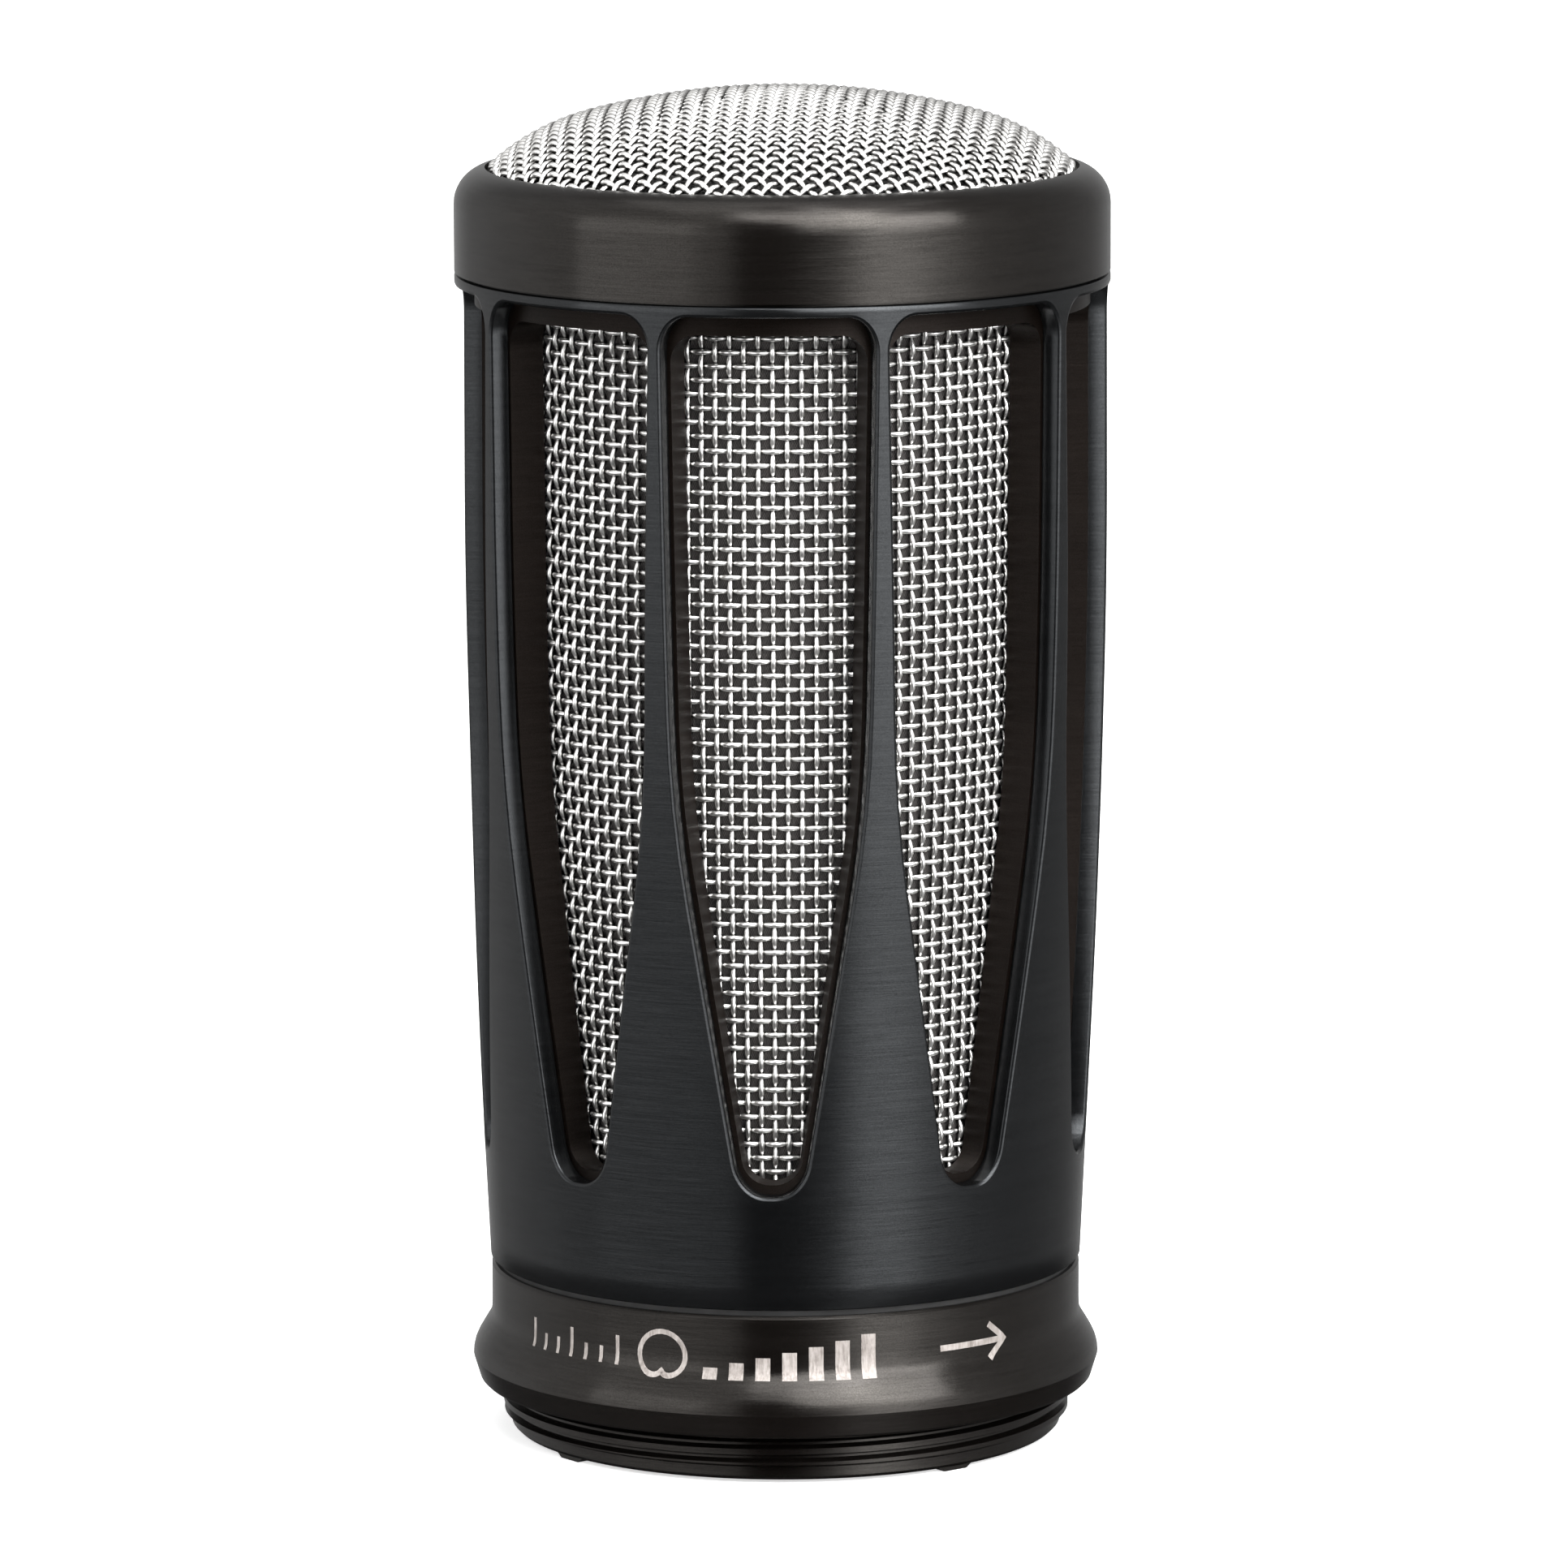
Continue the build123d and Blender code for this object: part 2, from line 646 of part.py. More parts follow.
with BuildPart() as backplate:
    with BuildSketch(Plane.XY.offset(BACKPLATE_Z)):
        Circle(BACKPLATE_R)
        for circle_r, hole_count in BACKPLATE_CIRCLES:
            with PolarLocations(circle_r, hole_count):
                Circle(BACKPLATE_HOLE_R, mode=Mode.SUBTRACT)
    extrude(amount=BACKPLATE_H)
finish(backplate, "backplate")

with BuildPart() as spacer_ring:
    add(ring(INNER_R, SPACER_BORE_R, BACKPLATE_Z, SPACER_H))
finish(spacer_ring, "spacer_ring")

with BuildPart() as diaphragm:
    add(ring(INNER_R, 0, DIAPHRAGM_Z, DIAPHRAGM_H))
finish(diaphragm, "diaphragm")

with BuildPart() as diaphragm_ring:
    add(ring(INNER_R, TENSION_RING_BORE_R, TENSION_RING_Z, TENSION_RING_H))
finish(diaphragm_ring, "diaphragm_ring")

with BuildPart() as capsule_grille:
    with BuildSketch(Plane.XY.offset(FRONT_GRILLE_Z)):
        Circle(INNER_R)
        for circle_r, hole_count in FRONT_CIRCLES:
            with PolarLocations(circle_r, hole_count):
                Circle(FRONT_HOLE_R, mode=Mode.SUBTRACT)
        Circle(FRONT_HOLE_R, mode=Mode.SUBTRACT)
    extrude(amount=FRONT_GRILLE_H)
finish(capsule_grille, "capsule_grille")

with BuildPart() as clamp_ring:
    add(ring(INNER_R, CLAMP_BORE_R, CLAMP_Z, CLAMP_H))
    with BuildSketch(Plane.XY.offset(CLAMP_Z + CLAMP_H)):
        with PolarLocations(CLAMP_SLOT_CIRCLE_R, 2):
            Rectangle(*CLAMP_SLOT)
    extrude(amount=-CLAMP_SLOT_H, mode=Mode.SUBTRACT)
finish(clamp_ring, "clamp_ring")

# ================================================================ capsule leads
board_face = PCB_THICK / 2 + LEAD_R + LEAD_GAP
lead_routes = {
    "lead_hot": (
        (0, 0, TERMINAL_FOOT_Z),
        (0, 0, LEAD_HOT_TURN_Z),
        (0, board_face, LEAD_BOARD_Z),
        (0, board_face, LEAD_END_Z),
    ),
    "lead_ground": (
        (LEAD_GROUND_X, LEAD_GROUND_Y, MOUNT_TOP - LEAD_GROUND_DROP),
        (LEAD_GROUND_X, LEAD_GROUND_Y, LEAD_GROUND_TURN_Z),
        (LEAD_GROUND_X, board_face, LEAD_BOARD_Z),
        (LEAD_GROUND_X, board_face, LEAD_END_Z),
    ),
}
for lead_name, route in lead_routes.items():
    with BuildPart() as lead:
        with BuildLine() as lead_path:
            FilletPolyline(*route, radius=LEAD_BEND_R)
        with BuildSketch(Plane(route[0], z_dir=(0, 0, -1))):
            Circle(LEAD_R)
        sweep(path=lead_path.wires()[0])
    finish(lead, lead_name)

# ================================================================ seal ring
with BuildPart() as seal_ring:
    add(ring(SEAL_R, SPIGOT_R + SEAL_FIT, BASE_TOP, SEAL_H))
finish(seal_ring, "seal_ring")

# ================================================================ cage
cage_cutter = window_cutter(0, 0, 0)
with BuildPart() as cage:
    add(
        tapered_tube(
            CAGE_R, CAGE_TAPER, CAGE_R - CAGE_WALL, CAGE_TAPER, GRILLE_Z, CAGE_TOP
        )
    )
    with PolarLocations(0, WINDOW_COUNT):
        add(cage_cutter, mode=Mode.SUBTRACT)
finish(cage, "cage")

# ================================================================ mesh carrier
carrier_cutter = window_cutter(CARRIER_INSET, CARRIER_WINDOW_DROP, CARRIER_WINDOW_RAISE)
carrier_outer = CAGE_R - CAGE_WALL - SKIN_GAP
carrier_inner = MESH_R + SKIN_GAP
collar_relief = COLLAR_R - THREAD_DEPTH - RELIEF_GAP
spigot_bore = SPIGOT_R + THREAD_FIT
collar_thread = joint_thread(COLLAR_R, COLLAR_THREAD_Z, COLLAR_TOP + THREAD_PITCH)

with BuildPart() as mesh_carrier:
    add(
        tapered_tube(
            carrier_outer, CAGE_TAPER, carrier_inner, MESH_TAPER, MESH_BOTTOM, MESH_TOP
        )
    )
    add(
        turned(
            (spigot_bore, GRILLE_Z),
            (radius_at(carrier_outer, CAGE_TAPER, GRILLE_Z), GRILLE_Z),
            (radius_at(carrier_outer, CAGE_TAPER, MESH_BOTTOM), MESH_BOTTOM),
            (spigot_bore, MESH_BOTTOM),
        )
    )
    add(
        turned(
            (COLLAR_BORE_R, MESH_TOP),
            (carrier_outer, MESH_TOP),
            (carrier_outer, CAGE_TOP),
            (collar_relief, CAGE_TOP),
            (collar_relief, CAGE_TOP + THREAD_RELIEF_H),
            (COLLAR_R, CAGE_TOP + THREAD_RELIEF_H + THREAD_LEAD_IN),
            (COLLAR_R, COLLAR_TOP - THREAD_LEAD_IN),
            (COLLAR_R - THREAD_LEAD_IN, COLLAR_TOP),
            (COLLAR_BORE_R, COLLAR_TOP),
        )
    )
    with PolarLocations(0, WINDOW_COUNT):
        add(carrier_cutter, mode=Mode.SUBTRACT)
    add(collar_thread, mode=Mode.SUBTRACT)
finish(mesh_carrier, "mesh_carrier")

# ================================================================ side mesh and cloth
mesh_inner = MESH_R - MESH_WALL
with BuildPart() as side_mesh:
    add(tapered_tube(MESH_R, MESH_TAPER, mesh_inner, MESH_TAPER, MESH_BOTTOM + END_GAP, MESH_TOP - END_GAP))
finish(side_mesh, "side_mesh")

with BuildPart() as side_liner:
    add(
        tapered_tube(
            mesh_inner - LINER_GAP,
            MESH_TAPER,
            mesh_inner - LINER_GAP - LINER_WALL,
            MESH_TAPER,
            MESH_BOTTOM + END_GAP,
            MESH_TOP - END_GAP,
        )
    )
finish(side_liner, "side_liner")

# ================================================================ dome
crown_angle = asin(CROWN_BREAK_R / CROWN_R)
knuckle_x = (CROWN_R - KNUCKLE_R) * sin(crown_angle)
knuckle_z = DOME_APEX - CROWN_R + (CROWN_R - KNUCKLE_R) * cos(crown_angle)


def knuckle_start(inset, radius):
    """Angle on the dome's knuckle arc, inset from its outside, at a radius from the axis."""
    return acos((radius - knuckle_x) / (KNUCKLE_R - inset))


def knuckle_height(inset, radius):
    """Height of the dome's knuckle arc, inset from its outside, at a radius from the axis."""
    return knuckle_z + (KNUCKLE_R - inset) * sin(knuckle_start(inset, radius))


def dome_arcs(inset, radius):
    """The dome's knuckle and crown arcs, inset from its outside, from a radius to the axis."""
    start = degrees(knuckle_start(inset, radius))
    knee = 90 - degrees(crown_angle)
    CenterArc((knuckle_x, knuckle_z), KNUCKLE_R - inset, start, knee - start)
    CenterArc((0, DOME_APEX - CROWN_R), CROWN_R - inset, knee, 90 - knee)


skirt_inner_r = DOME_SKIRT_R - DOME_WALL
with BuildPart() as dome_mesh:
    with BuildSketch(Plane.XZ):
        with BuildLine():
            dome_arcs(0, DOME_SKIRT_R)
            Line((0, DOME_APEX), (0, DOME_APEX - DOME_WALL))
            dome_arcs(DOME_WALL, skirt_inner_r)
            Polyline(
                (skirt_inner_r, knuckle_height(DOME_WALL, skirt_inner_r)),
                (skirt_inner_r, FLANGE_Z),
                (COLLAR_R, FLANGE_Z),
                (COLLAR_R, FLANGE_Z + FLANGE_H),
                (DOME_SKIRT_R, FLANGE_Z + FLANGE_H),
                (DOME_SKIRT_R, knuckle_height(0, DOME_SKIRT_R)),
            )
        make_face()
    revolve(axis=Axis.Z)
finish(dome_mesh, "dome_mesh")

foam_top = DOME_WALL + FOAM_GAP
foam_under = foam_top + FOAM_THICK
with BuildPart() as dome_foam:
    with BuildSketch(Plane.XZ):
        with BuildLine():
            dome_arcs(foam_top, FOAM_R)
            Line((0, DOME_APEX - foam_top), (0, DOME_APEX - foam_under))
            dome_arcs(foam_under, FOAM_HOLLOW_R)
            Polyline(
                (FOAM_HOLLOW_R, knuckle_height(foam_under, FOAM_HOLLOW_R)),
                (FOAM_R, knuckle_height(foam_under, FOAM_HOLLOW_R)),
                (FOAM_R, knuckle_height(foam_top, FOAM_R)),
            )
        make_face()
    revolve(axis=Axis.Z)
finish(dome_foam, "dome_foam")

with BuildPart() as dome_gasket:
    add(ring(COLLAR_R - GASKET_OUTER_FIT, FOAM_R - GASKET_OVERLAP, COLLAR_TOP, FLANGE_Z - COLLAR_TOP))
finish(dome_gasket, "dome_gasket")

# ================================================================ top ring
ring_bore = COLLAR_R + THREAD_FIT
fillet_x = CAGE_R - RING_FILLET
fillet_z = RING_TOP - RING_FILLET
lip_edge_r = RING_LIP_R + RING_LIP_SLANT
fillet_sweep = degrees(acos((lip_edge_r - fillet_x) / RING_FILLET))

with BuildPart() as top_ring:
    with BuildSketch(Plane.XZ):
        with BuildLine():
            CenterArc((fillet_x, fillet_z), RING_FILLET, 0, fillet_sweep)
            Polyline(
                (lip_edge_r, fillet_z + RING_FILLET * sin(radians(fillet_sweep))),
                (RING_LIP_R, RING_LIP_Z),
                (ring_bore, RING_LIP_Z),
                (ring_bore, CAGE_TOP),
                (CAGE_R - SEAM_DEPTH, CAGE_TOP),
                (CAGE_R - SEAM_DEPTH, CAGE_TOP + SEAM_H),
                (CAGE_R, CAGE_TOP + SEAM_H),
                (CAGE_R, fillet_z),
            )
        make_face()
    revolve(axis=Axis.Z)
finish(top_ring, "top_ring")
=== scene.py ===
"""Looks of a screw-on capsule head: woven wire, turned black anodising, cloth and foam.

Everything is in metres, in the CAD model's own frame: +Z up, -Y the middle of the front window.
"""

import json
import math

import bpy
import numpy as np
from mathutils import Euler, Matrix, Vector
from mathutils.bvhtree import BVHTree


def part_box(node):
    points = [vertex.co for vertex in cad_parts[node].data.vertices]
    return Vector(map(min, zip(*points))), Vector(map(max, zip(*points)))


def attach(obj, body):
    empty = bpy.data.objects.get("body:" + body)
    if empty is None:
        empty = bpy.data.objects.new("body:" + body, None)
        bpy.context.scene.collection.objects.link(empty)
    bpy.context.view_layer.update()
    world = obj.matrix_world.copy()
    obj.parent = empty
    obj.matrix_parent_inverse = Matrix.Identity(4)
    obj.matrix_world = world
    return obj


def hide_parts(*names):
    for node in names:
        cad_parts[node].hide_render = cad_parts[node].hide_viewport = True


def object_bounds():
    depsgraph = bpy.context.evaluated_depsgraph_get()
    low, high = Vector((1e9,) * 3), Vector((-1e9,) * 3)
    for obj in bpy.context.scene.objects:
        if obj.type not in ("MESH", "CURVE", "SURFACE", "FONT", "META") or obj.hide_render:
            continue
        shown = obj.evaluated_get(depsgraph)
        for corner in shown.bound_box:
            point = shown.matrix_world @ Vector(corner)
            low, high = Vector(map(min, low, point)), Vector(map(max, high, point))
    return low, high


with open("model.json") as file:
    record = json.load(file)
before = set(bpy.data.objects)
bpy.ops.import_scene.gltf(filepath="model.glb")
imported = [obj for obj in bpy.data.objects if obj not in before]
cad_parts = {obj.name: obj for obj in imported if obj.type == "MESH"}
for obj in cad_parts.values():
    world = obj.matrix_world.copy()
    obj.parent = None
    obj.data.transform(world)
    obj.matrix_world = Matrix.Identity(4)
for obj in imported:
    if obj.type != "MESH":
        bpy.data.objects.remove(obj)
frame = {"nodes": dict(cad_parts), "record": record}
cad_low, cad_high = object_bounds()
MM = 0.001

# ---------------------------------------------------------------- places read from the frame
CAGE_LOW, CAGE_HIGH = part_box("cage")
MESH_LOW, MESH_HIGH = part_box("side_mesh")
LINER_LOW, LINER_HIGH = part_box("side_liner")
DOME_LOW, DOME_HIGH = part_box("dome_mesh")
FOAM_LOW, FOAM_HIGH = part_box("dome_foam")

# ---------------------------------------------------------------- shapes shared with the CAD model
TAPER_Z = 42.9 * MM
TAPER_BLEND_R = 390 * MM
CAGE_TAPER = 0.0483
CAGE_WALL = 1.05 * MM
MESH_TAPER = 0.030
WINDOW_COUNT = 9
WINDOW_PLANE = 20 * MM
CROWN_R = 42 * MM
CROWN_BREAK_R = 11 * MM
KNUCKLE_R = 12.16 * MM
DOME_SKIRT_R = 15.95 * MM


def radius_at(top_radius, slope, z):
    """Radius of a wall that is straight above the taper height and conical below it."""
    reach = TAPER_BLEND_R * slope / 2
    below = TAPER_Z - z
    if below <= -reach:
        return top_radius
    if below >= reach:
        return top_radius - slope * below
    return top_radius - (below + reach) ** 2 / (2 * TAPER_BLEND_R)


def on_wall(radius, angle, z):
    """A point at a radius, an angle round from the front window's middle, and a height."""
    return (radius * math.sin(angle), -radius * math.cos(angle), z)


# ---------------------------------------------------------------- node helpers
def new_material(name, **values):
    """A material with uniform values set on its Principled shader, and its nodes."""
    made = bpy.data.materials.new(name)
    made.use_nodes = True
    shader = made.node_tree.nodes["Principled BSDF"]
    for socket, value in values.items():
        shader.inputs[socket.replace("_", " ")].default_value = value
    return made, made.node_tree, shader


def add_node(tree, kind, **settings):
    """A node of one kind; settings name its properties or, with a leading in_, its inputs."""
    node = tree.nodes.new(kind)
    for key, value in settings.items():
        if key.startswith("in_"):
            node.inputs[key[3:].replace("_", " ")].default_value = value
        else:
            setattr(node, key, value)
    return node


def object_coords(tree, scale=(1, 1, 1)):
    """Object coordinates, stretched by a scale for each axis."""
    place = add_node(tree, "ShaderNodeTexCoord")
    stretch = add_node(tree, "ShaderNodeMapping", in_Scale=scale)
    tree.links.new(place.outputs["Object"], stretch.inputs["Vector"])
    return stretch.outputs["Vector"]


def noise(tree, coords, scale, detail=3.0, roughness=0.55):
    """A noise value read at some coordinates."""
    node = add_node(
        tree, "ShaderNodeTexNoise", in_Scale=scale, in_Detail=detail, in_Roughness=roughness
    )
    tree.links.new(coords, node.inputs["Vector"])
    return node.outputs["Fac"]


def ramp(tree, value, stops):
    """A colour ramp through stops of position and colour."""
    node = add_node(tree, "ShaderNodeValToRGB")
    elements = node.color_ramp.elements
    while len(elements) < len(stops):
        elements.new(0.5)
    for element, (position, colour) in zip(elements, stops):
        element.position = position
        element.color = (*colour, 1)
    tree.links.new(value, node.inputs["Fac"])
    return node.outputs["Color"]


def levels(tree, value, low, high):
    """A value from 0 to 1 moved to run from low to high."""
    node = add_node(tree, "ShaderNodeMapRange", in_To_Min=low, in_To_Max=high)
    tree.links.new(value, node.inputs["Value"])
    return node.outputs["Result"]


def math_node(tree, operation, first, second=None):
    """A Math node on sockets or numbers."""
    node = add_node(tree, "ShaderNodeMath", operation=operation)
    for socket, value in zip(node.inputs, (first, second)):
        if value is None:
            continue
        if isinstance(value, (int, float)):
            socket.default_value = value
        else:
            tree.links.new(value, socket)
    return node.outputs["Value"]


def bump(tree, shader, height, strength, distance, under=None):
    """A bump under the shader, chained on another bump's normal if there is one."""
    node = add_node(tree, "ShaderNodeBump", in_Strength=strength, in_Distance=distance)
    tree.links.new(height, node.inputs["Height"])
    if under is not None:
        tree.links.new(under, node.inputs["Normal"])
    tree.links.new(node.outputs["Normal"], shader.inputs["Normal"])
    return node.outputs["Normal"]


# ---------------------------------------------------------------- materials
def anodised(name, dark, light, rough, coat_tint=(1, 1, 1)):
    """Black anodised aluminium turned on a lathe: fine rings round Z, faint dye clouds, small specks."""
    made, tree, shader = new_material(
        name, Metallic=0.0, IOR=1.41, Specular_Tint=(*coat_tint, 1), Anisotropic=0.85
    )
    shader.inputs["Anisotropic Rotation"].default_value = 0.25
    lathe = add_node(tree, "ShaderNodeTangent", direction_type="RADIAL", axis="Z")
    tree.links.new(lathe.outputs["Tangent"], shader.inputs["Tangent"])
    rings = noise(tree, object_coords(tree, (300, 300, 6800)), scale=1.0, detail=5.0, roughness=0.75)
    broad_rings = noise(tree, object_coords(tree, (25, 25, 1500)), scale=1.0, detail=2.0, roughness=0.5)
    clouds = noise(tree, object_coords(tree, (1, 1, 1)), scale=160.0, detail=4.0, roughness=0.6)
    blast = noise(tree, object_coords(tree, (1, 1, 1)), scale=16000.0, detail=2.0, roughness=0.5)
    mixed = math_node(tree, "MULTIPLY", math_node(tree, "ADD", clouds, broad_rings), 0.5)
    colour = ramp(tree, mixed, [(0.3, dark), (0.72, light)])
    tree.links.new(colour, shader.inputs["Base Color"])
    tree.links.new(levels(tree, rings, low=rough - 0.08, high=rough + 0.08), shader.inputs["Roughness"])
    streaks = math_node(tree, "MULTIPLY", math_node(tree, "ADD", rings, blast), 0.5)
    tree.links.new(levels(tree, streaks, low=-0.1, high=1.1), shader.inputs["Specular IOR Level"])
    fine = bump(tree, shader, rings, strength=0.6, distance=0.012 * MM)
    bump(tree, shader, blast, strength=0.18, distance=0.003 * MM, under=fine)
    return made


# Name of the attribute that holds how far each wire vertex stands out of the weave; the steel paints shade
# from it.
WIRE_STAND = "wire_stand"


def wire_steel(name):
    """Bright drawn stainless wire with dull spots, and painted shade: the colour darkens where the wire
    dips down into the crossings of the weave and on its inward side.
    """
    made, tree, shader = new_material(name, Metallic=1.0)
    spots = noise(tree, object_coords(tree), scale=2200.0, detail=3.0, roughness=0.6)
    stand = add_node(tree, "ShaderNodeAttribute", attribute_name=WIRE_STAND)
    shade_and_spots = math_node(tree, "ADD", stand.outputs["Fac"], math_node(tree, "MULTIPLY", spots, 0.16))
    # Painted shade: the colour runs from near black where the wire lies low in the weave or faces inward to
    # bright where it stands out, with the dull spots mixed in.
    tree.links.new(
        ramp(
            tree,
            shade_and_spots,
            [
                (0.54, (0.045, 0.043, 0.040)),
                (0.66, (0.35, 0.345, 0.335)),
                (0.80, (0.97, 0.96, 0.94)),
            ],
        ),
        shader.inputs["Base Color"],
    )
    tree.links.new(levels(tree, spots, low=0.28, high=0.42), shader.inputs["Roughness"])
    grain = noise(tree, object_coords(tree), scale=24000.0, detail=2.0, roughness=0.5)
    bump(tree, shader, grain, strength=0.15, distance=0.004 * MM)
    return made


def turned_metal(name, dark, light, rough):
    """Machined bare or plated metal with fine lathe rings."""
    made, tree, shader = new_material(name, Metallic=1.0)
    rings = noise(tree, object_coords(tree, (120, 120, 12000)), scale=1.0, detail=3.0, roughness=0.6)
    stains = noise(tree, object_coords(tree), scale=420.0, detail=4.0, roughness=0.6)
    tree.links.new(ramp(tree, stains, [(0.3, dark), (0.7, light)]), shader.inputs["Base Color"])
    tree.links.new(levels(tree, rings, low=rough - 0.06, high=rough + 0.08), shader.inputs["Roughness"])
    bump(tree, shader, rings, strength=0.25, distance=0.004 * MM)
    return made


def moulded(name, dark, light, rough, grain=6000.0, grain_depth=0.01):
    """Moulded plastic, rubber or fired chip bodies: mottled colour and a fine skin texture."""
    made, tree, shader = new_material(name)
    mottle = noise(tree, object_coords(tree), scale=700.0, detail=4.0, roughness=0.6)
    tree.links.new(ramp(tree, mottle, [(0.3, dark), (0.7, light)]), shader.inputs["Base Color"])
    tree.links.new(levels(tree, mottle, low=rough - 0.06, high=rough + 0.06), shader.inputs["Roughness"])
    skin = noise(tree, object_coords(tree), grain, 3.0, 0.6)
    bump(tree, shader, skin, strength=0.35, distance=grain_depth * MM)
    return made


def circuit_board(name):
    """Green solder resist over copper: lighter track lines in a square pattern."""
    made, tree, shader = new_material(name, IOR=1.5)
    tracks = add_node(
        tree,
        "ShaderNodeTexBrick",
        in_Color1=(0.012, 0.10, 0.05, 1),
        in_Color2=(0.02, 0.15, 0.075, 1),
        in_Mortar=(0.05, 0.26, 0.13, 1),
        in_Scale=420.0,
        in_Mortar_Size=0.03,
    )
    tree.links.new(object_coords(tree), tracks.inputs["Vector"])
    tree.links.new(tracks.outputs["Color"], shader.inputs["Base Color"])
    resist = noise(tree, object_coords(tree), scale=3000.0, detail=2.0, roughness=0.5)
    tree.links.new(levels(tree, resist, low=0.28, high=0.42), shader.inputs["Roughness"])
    bump(tree, shader, tracks.outputs["Fac"], strength=0.3, distance=0.02 * MM)
    return made


CLOTH_WARP_TURNS = 700
CLOTH_ROWS_PER_M = 8000


def cloth(name):
    """Fine grey-brown acoustic cloth, woven at eight threads a millimetre, in rings round Z."""
    made, tree, shader = new_material(name, Sheen_Weight=0.3, Sheen_Roughness=0.5)
    place = add_node(tree, "ShaderNodeTexCoord")
    parts = add_node(tree, "ShaderNodeSeparateXYZ")
    tree.links.new(place.outputs["Object"], parts.inputs["Vector"])
    turn = math_node(tree, "ARCTAN2", parts.outputs["Y"], parts.outputs["X"])
    warp = math_node(tree, "SINE", math_node(tree, "MULTIPLY", turn, CLOTH_WARP_TURNS))
    rows = math_node(tree, "MULTIPLY", parts.outputs["Z"], CLOTH_ROWS_PER_M * math.pi)
    weft = math_node(tree, "SINE", rows)
    weave = math_node(tree, "MULTIPLY", warp, weft)
    height = math_node(tree, "MULTIPLY", math_node(tree, "ADD", weave, 1.0), 0.5)
    slubs = noise(tree, object_coords(tree), scale=900.0, detail=4.0, roughness=0.65)
    mixed = math_node(tree, "MULTIPLY", math_node(tree, "ADD", height, slubs), 0.5)
    tree.links.new(
        ramp(tree, mixed, [(0.25, (0.006, 0.0054, 0.005)), (0.85, (0.075, 0.067, 0.063))]),
        shader.inputs["Base Color"],
    )
    tree.links.new(levels(tree, slubs, low=0.75, high=0.95), shader.inputs["Roughness"])
    bump(tree, shader, height, strength=0.6, distance=0.03 * MM)
    return made


def foam(name):
    """Open-cell black foam: cells half a millimetre across with thin lighter struts."""
    made, tree, shader = new_material(name)
    cells = add_node(
        tree, "ShaderNodeTexVoronoi", feature="DISTANCE_TO_EDGE", in_Scale=2400.0, in_Randomness=0.9
    )
    tree.links.new(object_coords(tree), cells.inputs["Vector"])
    tree.links.new(
        ramp(
            tree,
            cells.outputs["Distance"],
            [(0.02, (0.075, 0.072, 0.07)), (0.16, (0.012, 0.012, 0.012))],
        ),
        shader.inputs["Base Color"],
    )
    dust = noise(tree, object_coords(tree), scale=1500.0, detail=2.0, roughness=0.5)
    tree.links.new(levels(tree, dust, low=0.8, high=0.98), shader.inputs["Roughness"])
    bump(tree, shader, cells.outputs["Distance"], strength=0.9, distance=0.15 * MM)
    return made


def engraved(name):
    """Bare metal where a laser took the anodising off: pale, hatched and mottled."""
    made, tree, shader = new_material(name, Metallic=0.35)
    hatch = noise(tree, object_coords(tree, (9000, 9000, 1200)), scale=1.0, detail=2.0, roughness=0.6)
    burn = noise(tree, object_coords(tree), scale=1300.0, detail=4.0, roughness=0.65)
    mixed = math_node(tree, "MULTIPLY", math_node(tree, "ADD", hatch, burn), 0.5)
    tree.links.new(
        ramp(tree, mixed, [(0.3, (0.12, 0.10, 0.09)), (0.62, (0.36, 0.33, 0.31))]),
        shader.inputs["Base Color"],
    )
    tree.links.new(levels(tree, burn, low=0.4, high=0.65), shader.inputs["Roughness"])
    bump(tree, shader, hatch, strength=0.4, distance=0.01 * MM)
    return made


